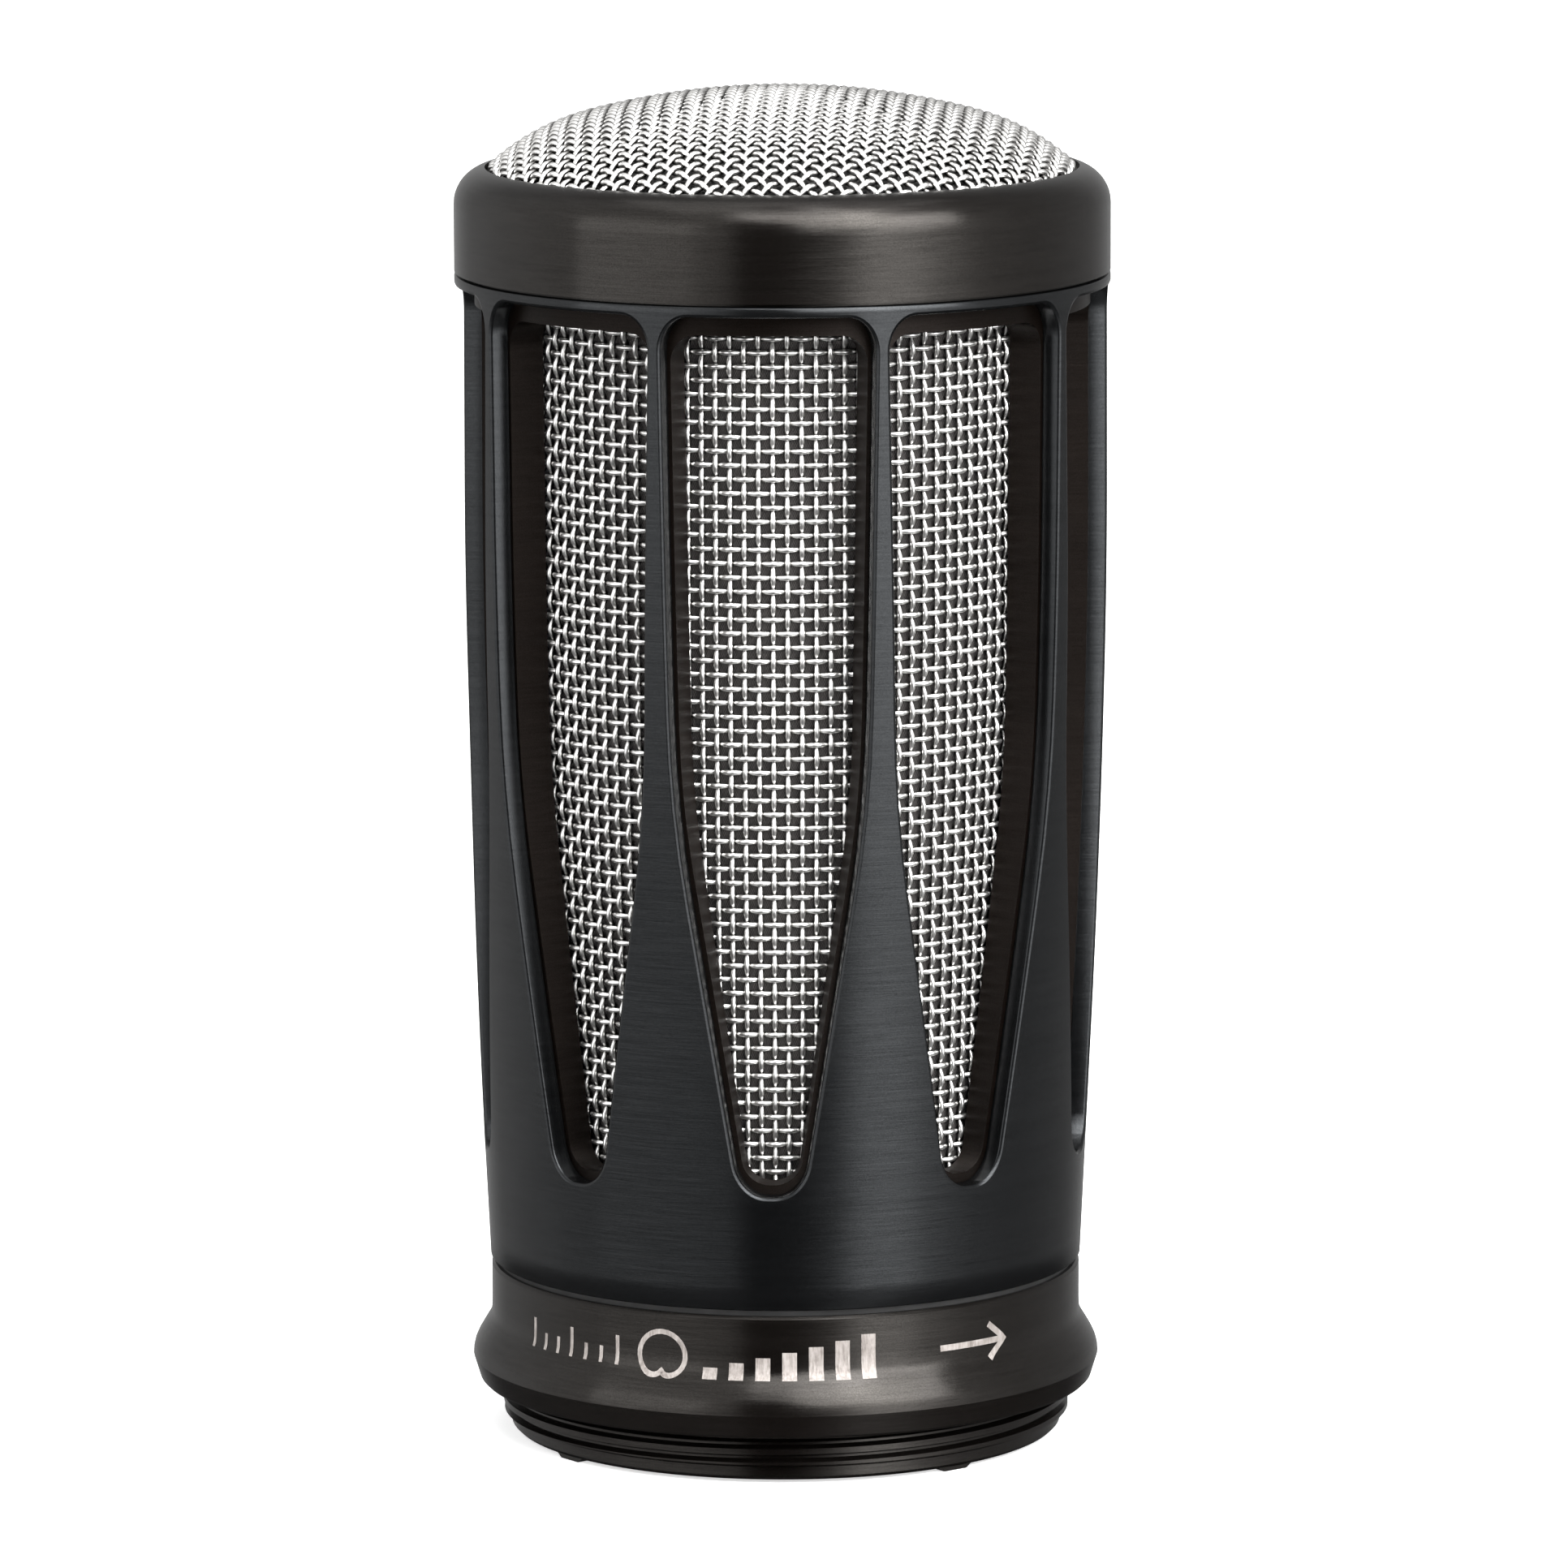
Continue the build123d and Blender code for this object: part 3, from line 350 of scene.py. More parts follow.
MATERIALS = {
    "black_anodised": anodised(
        "black_anodised", (0.0012, 0.0013, 0.0014), (0.0026, 0.0027, 0.0029), 0.20, (0.92, 0.96, 1.0)
    ),
    "ring_anodised": anodised(
        "ring_anodised", (0.0016, 0.0013, 0.0011), (0.0032, 0.0026, 0.0023), 0.20, (1.0, 0.94, 0.88)
    ),
    "brown_anodised": anodised(
        "brown_anodised", (0.0018, 0.0012, 0.0009), (0.0034, 0.0023, 0.0018), 0.5, (0.42, 0.36, 0.33)
    ),
    "bare_aluminium": turned_metal("bare_aluminium", (0.60, 0.61, 0.63), (0.78, 0.78, 0.79), 0.34),
    "steel_wire": wire_steel("steel_wire"),
    "steel": turned_metal("steel", (0.48, 0.48, 0.49), (0.66, 0.66, 0.66), 0.28),
    "gold_plate": turned_metal("gold_plate", (0.80, 0.56, 0.22), (0.93, 0.72, 0.34), 0.2),
    "brass": turned_metal("brass", (0.60, 0.44, 0.20), (0.78, 0.61, 0.32), 0.26),
    "gold_film": turned_metal("gold_film", (0.82, 0.62, 0.28), (0.95, 0.76, 0.40), 0.14),
    "circuit_board": circuit_board("circuit_board"),
    "black_epoxy": moulded("black_epoxy", (0.012, 0.012, 0.012), (0.03, 0.03, 0.03), 0.45),
    "film_box": moulded("film_box", (0.38, 0.03, 0.02), (0.55, 0.06, 0.04), 0.3, 2500.0, 0.006),
    "can_sleeve": moulded("can_sleeve", (0.02, 0.025, 0.05), (0.04, 0.05, 0.09), 0.25, 2500.0, 0.005),
    "ceramic_chip": moulded("ceramic_chip", (0.05, 0.045, 0.04), (0.12, 0.11, 0.1), 0.5),
    "cradle_plastic": moulded("cradle_plastic", (0.03, 0.03, 0.03), (0.06, 0.06, 0.06), 0.5),
    "ptfe": moulded("ptfe", (0.78, 0.78, 0.75), (0.9, 0.9, 0.88), 0.5, 3000.0, 0.006),
    "rubber": moulded("rubber", (0.010, 0.010, 0.010), (0.022, 0.022, 0.022), 0.72, 5000.0, 0.02),
    "lead_red": moulded("lead_red", (0.4, 0.02, 0.015), (0.55, 0.04, 0.03), 0.42, 4000.0, 0.006),
    "lead_black": moulded("lead_black", (0.012, 0.012, 0.012), (0.03, 0.03, 0.03), 0.42, 4000.0, 0.006),
    "cloth": cloth("cloth"),
    "foam": foam("foam"),
    "engraved": engraved("engraved"),
}
WARM_NODES = ("top_ring", "base_ring")

for subpart in frame["record"]["subparts"]:
    node = frame["nodes"][subpart["node"]]
    slot = "ring_anodised" if subpart["node"] in WARM_NODES else subpart["material_slot"]
    node.data.materials.clear()
    node.data.materials.append(MATERIALS[slot])


# ---------------------------------------------------------------- mesh helpers
def new_piece(name, vertices, faces, body, material, sharp_degrees=40.0):
    """A smooth-shaded mesh piece that rides on a body."""
    mesh = bpy.data.meshes.new(name)
    mesh.from_pydata([tuple(v) for v in vertices], [], [tuple(f) for f in faces])
    mesh.polygons.foreach_set("use_smooth", [True] * len(mesh.polygons))
    mesh.set_sharp_from_angle(angle=math.radians(sharp_degrees))
    mesh.materials.append(MATERIALS[material])
    piece = bpy.data.objects.new(name, mesh)
    bpy.context.scene.collection.objects.link(piece)
    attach(piece, body)
    return piece


# A wire's outward direction leans up by this much, so that it is there on the axis too.
AXIS_LIFT = 1 * MM


def tubes(paths, radius, sides):
    """Vertices and faces of round wires, and how far each vertex stands out of the weave, from 0 to 1.

    A path is its points, how far each point stands out of the weave, from -1 to 1, and whether it closes.
    """
    ring_angles = np.linspace(0, 2 * math.pi, sides, endpoint=False)
    vertices, stands, faces, start = [], [], [], 0
    for points, lifts, closed in paths:
        points = np.asarray(points)
        count = len(points)
        if closed:
            ahead, behind = np.roll(points, -1, axis=0), np.roll(points, 1, axis=0)
        else:
            ahead = np.vstack([points[1:], 2 * points[-1:] - points[-2:-1]])
            behind = np.vstack([2 * points[:1] - points[1:2], points[:-1]])
        along = ahead - behind
        along /= np.linalg.norm(along, axis=1)[:, None]
        out = points * (1.0, 1.0, 0.0) + (0.0, 0.0, AXIS_LIFT)
        side = np.cross(along, out)
        side /= np.linalg.norm(side, axis=1)[:, None]
        up = np.cross(side, along)
        rings = (
            points[:, None, :]
            + radius * np.cos(ring_angles)[None, :, None] * side[:, None, :]
            + radius * np.sin(ring_angles)[None, :, None] * up[:, None, :]
        )
        vertices.append(rings.reshape(-1, 3))
        stand = (np.asarray(lifts)[:, None] + np.sin(ring_angles)[None, :] + 2) / 4
        stands.append(stand.reshape(-1))
        spans = count if closed else count - 1
        for i in range(spans):
            here, there = start + i * sides, start + ((i + 1) % count) * sides
            for k in range(sides):
                n = (k + 1) % sides
                faces.append((here + k, here + n, there + n, there + k))
        if not closed:
            faces.append(tuple(start + k for k in reversed(range(sides))))
            faces.append(tuple(start + (count - 1) * sides + k for k in range(sides)))
        start += count * sides
    return np.vstack(vertices), faces, np.concatenate(stands)


def new_weave(name, paths, radius, body):
    """A piece of woven wires, which keeps how far each vertex stands out of the weave, for the steel's
    painted shade.
    """
    vertices, faces, stands = tubes(paths, radius, WIRE_SIDES)
    piece = new_piece(name, vertices, faces, body, "steel_wire", 180.0)
    kept = piece.data.attributes.new(WIRE_STAND, "FLOAT", "POINT")
    kept.data.foreach_set("value", stands)
    return piece


def turned_piece(profile, segments):
    """Vertices and faces of a closed turned solid, from its half section as (radius, height) corners."""
    angles = [2 * math.pi * i / segments for i in range(segments)]
    vertices = [on_wall(r, a, z) for r, z in profile for a in angles]
    faces = []
    for i in range(len(profile)):
        here, there = i * segments, (i + 1) % len(profile) * segments
        for k in range(segments):
            n = (k + 1) % segments
            faces.append((here + k, there + k, there + n, here + n))
    return vertices, faces


# ---------------------------------------------------------------- side mesh
WIRE_R = 0.143 * MM
SIDE_COLUMNS = 118
SIDE_ROW_PITCH = 0.76 * MM
SIDE_START = 0.15
STEPS_PER_PITCH = 4
WIRE_SIDES = 8


def crossing_wave(step, parity):
    """How far a wire stands out, from -1 to 1, at a step along it; wires cross at whole pitches."""
    return math.cos(math.pi * step / STEPS_PER_PITCH) * (1 if parity % 2 else -1)


def side_mesh_paths():
    """Upright wires and ring wires of a plain weave wrapped into a cylinder with a tapered foot."""
    rows = round((MESH_HIGH.z - MESH_LOW.z - 2 * WIRE_R) / SIDE_ROW_PITCH)
    pitch = (MESH_HIGH.z - MESH_LOW.z - 2 * WIRE_R) / rows
    middle = MESH_HIGH.x - 2 * WIRE_R
    lowest = MESH_LOW.z + WIRE_R
    paths = []
    for column in range(SIDE_COLUMNS):
        angle = 2 * math.pi * (column + SIDE_START) / SIDE_COLUMNS
        points, lifts = [], []
        for step in range(rows * STEPS_PER_PITCH + 1):
            z = lowest + pitch * step / STEPS_PER_PITCH
            lifts.append(crossing_wave(step, column))
            radius = radius_at(middle, MESH_TAPER, z) + WIRE_R * lifts[-1]
            points.append(on_wall(radius, angle, z))
        paths.append((points, lifts, False))
    for row in range(rows + 1):
        z = lowest + pitch * row
        points, lifts = [], []
        for step in range(SIDE_COLUMNS * STEPS_PER_PITCH):
            angle = 2 * math.pi * (step / STEPS_PER_PITCH + SIDE_START) / SIDE_COLUMNS
            lifts.append(-crossing_wave(step, row))
            radius = radius_at(middle, MESH_TAPER, z) + WIRE_R * lifts[-1]
            points.append(on_wall(radius, angle, z))
        paths.append((points, lifts, True))
    return paths


side_wires = new_weave("side_mesh_wires", side_mesh_paths(), WIRE_R, "grille")
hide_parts("side_mesh")


# ---------------------------------------------------------------- dome mesh
DOME_WIRE_R = 0.14 * MM
DOME_PITCH = 0.765 * MM
DOME_RIM_Z = DOME_LOW.z + 0.3 * MM
DOME_MIDDLE = 2 * DOME_WIRE_R
# The dome's two families of wires run at these angles to X, in degrees.
DOME_HEADINGS = (45, 135)
ARC_STEP = 0.05 * MM
ON_AXIS = 1e-9
crown_angle = math.asin(CROWN_BREAK_R / CROWN_R)
knuckle_x = (CROWN_R - KNUCKLE_R) * math.sin(crown_angle)
knuckle_z = DOME_HIGH.z - CROWN_R + (CROWN_R - KNUCKLE_R) * math.cos(crown_angle)


def dome_point(arc, inset):
    """Radius and height of the dome's section at an arc length from the apex, inset from its outside."""
    crown_arc = CROWN_R * crown_angle
    skirt_angle = math.asin((DOME_SKIRT_R - knuckle_x) / KNUCKLE_R)
    knuckle_arc = KNUCKLE_R * (skirt_angle - crown_angle)
    if arc < crown_arc:
        tilt = arc / CROWN_R
        reach = CROWN_R - inset
        return reach * math.sin(tilt), DOME_HIGH.z - CROWN_R + reach * math.cos(tilt)
    tilt = min(crown_angle + (arc - crown_arc) / KNUCKLE_R, skirt_angle)
    reach = KNUCKLE_R - inset
    radius, z = knuckle_x + reach * math.sin(tilt), knuckle_z + reach * math.cos(tilt)
    over = max(0.0, arc - crown_arc - knuckle_arc)
    return radius, z - over


def dome_mesh_paths():
    """Two crossing sets of wires, at 45 degrees to the front, pressed over the dome and down its skirt."""
    arc_end = 0.0
    while dome_point(arc_end, DOME_MIDDLE)[1] > DOME_RIM_Z:
        arc_end += ARC_STEP
    lines = int(arc_end / DOME_PITCH)
    step_length = DOME_PITCH / STEPS_PER_PITCH
    paths = []
    for family, degrees in enumerate(DOME_HEADINGS):
        heading = math.radians(degrees)
        run = np.array((math.cos(heading), math.sin(heading)))
        across = np.array((-run[1], run[0]))
        for line in range(-lines, lines + 1):
            offset = line * DOME_PITCH
            half_steps = int(math.sqrt(max(0.0, arc_end**2 - offset**2)) / step_length)
            if half_steps < STEPS_PER_PITCH:
                continue
            points, lifts = [], []
            for step in range(-half_steps, half_steps + 1):
                flat = run * step * step_length + across * offset
                arc = float(np.hypot(*flat))
                lifts.append((1 if family else -1) * crossing_wave(step, line))
                radius, z = dome_point(arc, DOME_MIDDLE - DOME_WIRE_R * lifts[-1])
                shrink = radius / arc if arc > ON_AXIS else 1.0
                points.append((flat[0] * shrink, flat[1] * shrink, z))
            paths.append((points, lifts, False))
    return paths


dome_wires = new_weave("dome_mesh_wires", dome_mesh_paths(), DOME_WIRE_R, "dome")
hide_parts("dome_mesh")

RIM_H = 0.5 * MM
RIM_SEGMENTS = 180
rim_outer, rim_inner = DOME_HIGH.x, DOME_SKIRT_R - 4 * DOME_WIRE_R
rim_low, rim_high = DOME_LOW.z, DOME_LOW.z + RIM_H
rim_break = 0.1 * MM
rim_profile = [
    (rim_inner, rim_low),
    (rim_inner, rim_high),
    (rim_outer - rim_break, rim_high),
    (rim_outer, rim_high - rim_break),
    (rim_outer, rim_low + rim_break),
    (rim_outer - rim_break, rim_low),
]
vertices, faces = turned_piece(rim_profile, RIM_SEGMENTS)
new_piece("dome_mesh_rim", vertices, faces, "dome", "steel")

# ---------------------------------------------------------------- cage
WINDOW_TOP = 63.65 * MM
WINDOW_BOTTOM = 16.05 * MM
WINDOW_CORNERS = ((2.06 * MM, WINDOW_BOTTOM), (6.24 * MM, 37.1 * MM), (6.84 * MM, WINDOW_TOP))
WINDOW_FILLETS = (2.266 * MM, 60 * MM, 1.9 * MM)
WINDOW_BEVEL = 0.18 * MM
SIDE_STEP = 1.6 * MM
CORNER_LIMIT = 10 * MM
CORNER_STEPS = 12
BEND_STEPS = 4
STRAIGHT = 1e-6
PILLAR_COLUMNS = 10
PILLAR_EASE = 1.35
MIDDLE_COLUMNS = 8
FOOT_ROWS = 5
FOOT_ROW_GAP = 0.2 * MM
HEAD_ROWS = 2
HEAD_ROW_GAP = 0.02 * MM
CAGE_EDGE = 0.08 * MM
# The middle of a quarter circle lies this share of its radius in from both faces.
BEVEL_MIDDLE = 0.293
# Vertices that round to the same place on a grid this fine are one vertex.
WELD_PER_METRE = 2e7


def window_half():
    """Points and outward normals of a window's right half, from its flat foot to its flat top."""
    corners = [Vector((0, WINDOW_BOTTOM)), *map(Vector, WINDOW_CORNERS), Vector((0, WINDOW_TOP))]
    points, normals = [], []
    for i, fillet in enumerate(WINDOW_FILLETS):
        before, at, after = corners[i], corners[i + 1], corners[i + 2]
        come, go = (at - before).normalized(), (after - at).normalized()
        turn = come.angle_signed(go) if come.angle(go) > STRAIGHT else 0.0
        cut = fillet * math.tan(abs(turn) / 2)
        first = at - come * cut
        inward = Vector((-come.y, come.x))
        centre = first + inward * fillet
        if points:
            last = points[-1]
            gaps = max(1, int((first - last).length / SIDE_STEP))
            side_normal = Vector((come.y, -come.x))
            for k in range(1, gaps):
                points.append(last + (first - last) * k / gaps)
                normals.append(side_normal)
        steps = CORNER_STEPS if fillet < CORNER_LIMIT else BEND_STEPS
        for k in range(steps + 1):
            angle = abs(turn) * k / steps
            radial = -inward
            radial = Vector(
                (
                    radial.x * math.cos(angle) - radial.y * math.sin(angle),
                    radial.x * math.sin(angle) + radial.y * math.cos(angle),
                )
            )
            points.append(centre + radial * fillet)
            normals.append(radial)
    return points, normals


def cage_mesh():
    """The cage's wall: nine windows with rounded outer edges, in a shell of two turned faces."""
    top_radius = CAGE_HIGH.x
    low, high = CAGE_LOW.z, CAGE_HIGH.z
    points, normals = window_half()
    vertices, faces, known = [], [], {}

    def vertex(angle, z, depth):
        radius = radius_at(top_radius, CAGE_TAPER, z) - depth
        place = on_wall(radius, angle, z)
        key = tuple(round(c * WELD_PER_METRE) for c in place)
        if key not in known:
            known[key] = len(vertices)
            vertices.append(place)
        return known[key]

    def flat_angle(x):
        return math.atan2(x, WINDOW_PLANE)

    def strip(first, second, flip):
        for (a, b), (c, d) in zip(zip(first, first[1:]), zip(second, second[1:])):
            ring = []
            for corner in (a, b, d, c):
                if corner not in ring:
                    ring.append(corner)
            if len(ring) > 2:
                faces.append(ring[::-1] if flip else ring)

    half_sector = math.pi / WINDOW_COUNT
    foot_rows = [low + CAGE_EDGE + (WINDOW_BOTTOM - low) * k / FOOT_ROWS for k in range(FOOT_ROWS)]
    head_span = high - CAGE_EDGE - WINDOW_TOP
    head_rows = [WINDOW_TOP + head_span * k / HEAD_ROWS for k in range(1, HEAD_ROWS + 1)]
    for sector in range(WINDOW_COUNT):
        middle = 2 * half_sector * sector
        for side in (1, -1):
            flip = side < 0

            def pillar_row(first_angle, z, depth):
                made = []
                for k in range(PILLAR_COLUMNS + 1):
                    share = (k / PILLAR_COLUMNS) ** PILLAR_EASE
                    angle = first_angle + (half_sector - first_angle) * share
                    made.append(vertex(middle + side * angle, z, depth))
                return made

            def middle_row(last_angle, z, depth):
                return [
                    vertex(middle + side * last_angle * k / MIDDLE_COLUMNS, z, depth)
                    for k in range(MIDDLE_COLUMNS + 1)
                ]

            rims = []
            for depth, bevel in (
                (0.0, WINDOW_BEVEL),
                (WINDOW_BEVEL * BEVEL_MIDDLE, WINDOW_BEVEL * BEVEL_MIDDLE),
                (WINDOW_BEVEL, 0.0),
                (CAGE_WALL, 0.0),
            ):
                rim = []
                for point, normal in zip(points, normals):
                    radius = radius_at(top_radius, CAGE_TAPER, point.y)
                    angle = flat_angle(point.x) + bevel * normal.x / radius
                    rim.append((angle, point.y + bevel * normal.y, depth))
                rims.append(rim)
            for outside in (True, False):
                rim = rims[0] if outside else rims[-1]
                depth = 0.0 if outside else CAGE_WALL
                turn_over = flip != (not outside)
                foot_angle, head_angle = rim[0][0], rim[-1][0]
                foot_z, head_z = rim[0][1], rim[-1][1]
                grid = [
                    (middle_row(foot_angle, z, depth), pillar_row(foot_angle, z, depth))
                    for z in foot_rows
                    if z < foot_z - FOOT_ROW_GAP
                ]
                grid.append((middle_row(foot_angle, foot_z, depth), None))
                for lower, upper in zip(grid, grid[1:]):
                    strip(lower[0], upper[0], turn_over)
                    if upper[1]:
                        strip(lower[1], upper[1], turn_over)
                pillars = [grid[-2][1]]
                for angle, z, _ in rim:
                    pillars.append(pillar_row(angle, z, depth))
                tops = [(middle_row(head_angle, head_z, depth), None)]
                for z in head_rows:
                    if z > head_z + HEAD_ROW_GAP:
                        pillars.append(pillar_row(head_angle, z, depth))
                        tops.append((middle_row(head_angle, z, depth), None))
                for lower, upper in zip(pillars, pillars[1:]):
                    strip(lower, upper, turn_over)
                for lower, upper in zip(tops, tops[1:]):
                    strip(lower[0], upper[0], turn_over)
                if outside:
                    outer_ends = (grid[0], (tops[-1][0], pillars[-1]))
                else:
                    inner_ends = (grid[0], (tops[-1][0], pillars[-1]))
            edge_ends = []
            for (centre_row, pillar_row), z in zip(outer_ends, (low, high)):
                edge = []
                for index in centre_row[:-1] + pillar_row:
                    x, y, _ = vertices[index]
                    angle = math.atan2(x, -y)
                    edge.append(vertex(angle, z, CAGE_EDGE))
                edge_ends.append(edge)
            for k, (edge, outer, inner) in enumerate(zip(edge_ends, outer_ends, inner_ends)):
                outer_row = outer[0][:-1] + outer[1]
                inner_row = inner[0][:-1] + inner[1]
                strip(edge, outer_row, flip != bool(k))
                strip(inner_row, edge, flip != bool(k))
            loops = []
            for rim in rims:
                foot = [
                    (rim[0][0] * k / MIDDLE_COLUMNS, rim[0][1], rim[0][2])
                    for k in range(MIDDLE_COLUMNS)
                ]
                head = [
                    (rim[-1][0] * (1 - k / MIDDLE_COLUMNS), rim[-1][1], rim[-1][2])
                    for k in range(1, MIDDLE_COLUMNS + 1)
                ]
                loops.append([vertex(middle + side * a, z, d) for a, z, d in foot + rim + head])
            for outer, inner in zip(loops, loops[1:]):
                strip(outer, inner, not flip)
    return vertices, faces


vertices, faces = cage_mesh()
cage = new_piece("cage_shell", vertices, faces, "grille", "black_anodised", 50.0)
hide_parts("cage")

# ---------------------------------------------------------------- cloth liner and foam
LINER_THICK = 0.12 * MM
LINER_COLUMNS = 240
LINER_ROWS = 60
LINER_SAG = 0.03 * MM
# The sag is a product of two waves. Each has a count round the axis and a climb in radians a metre.
LINER_WAVES = ((7, 160), (11, -90))


def liner_mesh():
    """The cloth behind the wires: a rolled sheet that touches them and sags a little between its ends."""
    vertices, faces = [], []
    height = LINER_HIGH.z - LINER_LOW.z
    for layer in (0, 1):
        for row in range(LINER_ROWS + 1):
            z = LINER_LOW.z + height * row / LINER_ROWS
            for column in range(LINER_COLUMNS):
                angle = 2 * math.pi * column / LINER_COLUMNS
                ripple = LINER_SAG
                for waves, climb in LINER_WAVES:
                    ripple *= math.sin(waves * angle + climb * z)
                radius = radius_at(LINER_HIGH.x - LINER_SAG, MESH_TAPER, z) + ripple
                vertices.append(on_wall(radius - layer * LINER_THICK, angle, z))
    layer_size = (LINER_ROWS + 1) * LINER_COLUMNS
    for layer in (0, 1):
        for row in range(LINER_ROWS):
            for column in range(LINER_COLUMNS):
                n = (column + 1) % LINER_COLUMNS
                base = layer * layer_size + row * LINER_COLUMNS
                ring = (base + column, base + n, base + LINER_COLUMNS + n, base + LINER_COLUMNS + column)
                faces.append(ring[::-1] if layer else ring)
    for row in (0, LINER_ROWS):
        for column in range(LINER_COLUMNS):
            n = (column + 1) % LINER_COLUMNS
            outer = row * LINER_COLUMNS
            ring = (outer + column, outer + n, outer + layer_size + n, outer + layer_size + column)
            faces.append(ring if row else ring[::-1])
    return vertices, faces


vertices, faces = liner_mesh()
liner = new_piece("side_liner_cloth", vertices, faces, "grille", "cloth")
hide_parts("side_liner")

FOAM_GAP = 4 * DOME_WIRE_R + 0.08 * MM
FOAM_THICK = 2.0 * MM
FOAM_RINGS = 56
FOAM_COLUMNS = 180
FOAM_ARC_START = 0.2 * MM
FOAM_ARC_END = 16.2 * MM
FOAM_PIT = 0.09 * MM
FOAM_SEED = 11


def foam_mesh():
    """The pad under the dome: a pressed sheet of foam with a cut, pitted skin."""
    rng = np.random.default_rng(FOAM_SEED)
    arcs = np.linspace(FOAM_ARC_START, FOAM_ARC_END, FOAM_RINGS)
    vertices, faces = [], []
    for layer in (0, 1):
        for arc in arcs:
            pits = rng.uniform(0.0, FOAM_PIT, FOAM_COLUMNS)
            for column in range(FOAM_COLUMNS):
                depth = FOAM_GAP + layer * (FOAM_THICK - pits[column]) + (0 if layer else pits[column])
                radius, z = dome_point(arc, depth)
                angle = 2 * math.pi * column / FOAM_COLUMNS
                vertices.append(on_wall(min(radius, FOAM_HIGH.x), angle, max(z, FOAM_LOW.z)))
    layer_size = FOAM_RINGS * FOAM_COLUMNS
    for layer in (0, 1):
        for ring in range(FOAM_RINGS - 1):
            for column in range(FOAM_COLUMNS):
                n = (column + 1) % FOAM_COLUMNS
                here = layer * layer_size + ring * FOAM_COLUMNS
                there = here + FOAM_COLUMNS
                quad = (here + column, here + n, there + n, there + column)
                faces.append(quad if layer else quad[::-1])
        cap = [layer * layer_size + column for column in range(FOAM_COLUMNS)]
        faces.append(cap[::-1] if layer else cap)
    last = (FOAM_RINGS - 1) * FOAM_COLUMNS
    for column in range(FOAM_COLUMNS):
        n = (column + 1) % FOAM_COLUMNS
        faces.append((last + column, last + n, last + layer_size + n, last + layer_size + column)[::-1])
    return vertices, faces


vertices, faces = foam_mesh()
foam_pad = new_piece("dome_foam_pad", vertices, faces, "dome", "foam", 180.0)
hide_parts("dome_foam")

# ---------------------------------------------------------------- engraved marks on the base ring
MARK_LIFT = 0.012 * MM
MARK_STEP = 0.25 * MM
MARK_RADIUS = 16.4 * MM
MARK_RAY_START = 0.03
MARK_ACROSS = (-1, -0.33, 0.33, 1)
CARDIOID_POINTS = 40
base_tree = BVHTree.FromPolygons(
    [v.co[:] for v in frame["nodes"]["base_ring"].data.vertices],
    [tuple(p.vertices) for p in frame["nodes"]["base_ring"].data.polygons],
)


def on_base(across, z):
    """The point of the base ring's outside at an arc length round from the front and a height."""
    angle = across / MARK_RADIUS
    out = Vector(on_wall(1.0, angle, 0.0))
    start = out * MARK_RAY_START + Vector((0, 0, z))
    hit, normal, _, _ = base_tree.ray_cast(start, -out)
    return hit + normal * MARK_LIFT


def mark_strip(points, width, closed=False):
    """Vertices and faces of a flat line of one width through points on the base ring, across and height."""
    dense = []
    ends = list(zip(points, points[1:])) + ([(points[-1], points[0])] if closed else [])
    for a, b in ends:
        a, b = Vector(a), Vector(b)
        gaps = max(1, int((b - a).length / MARK_STEP))
        dense += [a + (b - a) * k / gaps for k in range(gaps)]
    if not closed:
        dense.append(Vector(points[-1]))
    count = len(dense)
    vertices, faces = [], []
    for i, point in enumerate(dense):
        before = dense[i - 1] if closed or i else point
        after = dense[(i + 1) % count] if closed or i < count - 1 else point
        along = (after - before).normalized()
        side = Vector((-along.y, along.x)) * width / 2
        for k in MARK_ACROSS:
            vertices.append(on_base(*(point + side * k)))
    for i in range(count if closed else count - 1):
        here, there = 4 * i, 4 * ((i + 1) % count)
        for k in range(3):
            faces.append((here + k, there + k, there + k + 1, here + k + 1))
    return vertices, faces


def cardioid(centre, size):
    """A heart-shaped pickup pattern, opening downwards, round a centre."""
    points = []
    for k in range(CARDIOID_POINTS):
        t = 2 * math.pi * k / CARDIOID_POINTS
        reach = size * (1 + math.sin(t)) / 2
        points.append((centre[0] + reach * math.cos(t), centre[1] + reach * math.sin(t)))
    return points


# Places and sizes of the marks, measured round the base ring from the front. The start and pitch of
# the bars and ticks and the bars' heights are in millimetres, the rest in metres.
MARK_Z = 7.2 * MM
PATTERN_PLACE = (-6.2 * MM, MARK_Z - 0.9 * MM)
PATTERN_SIZE = 2.1 * MM
PATTERN_LINE = 0.28 * MM
BAR_COUNT, BAR_START, BAR_PITCH = 7, -3.4, 1.45
BAR_SHORTEST, BAR_GROWTH = 0.6, 0.3
BAR_FOOT = MARK_Z - 1.2 * MM
BAR_WIDTH = 0.8 * MM
TICK_COUNT, TICK_START, TICK_PITCH = 7, -15.6, 1.1
TICK_LONG, TICK_SHORT = 1.6 * MM, 0.9 * MM
TICK_FOOT = MARK_Z - 0.9 * MM
TICK_WIDTH = 0.24 * MM
ARROW_START, ARROW_END, ARROW_TIP = 9.6 * MM, 14.0 * MM, 14.15 * MM
ARROW_BARB, ARROW_HALF = 12.9 * MM, 0.95 * MM
ARROW_WIDTH = 0.34 * MM

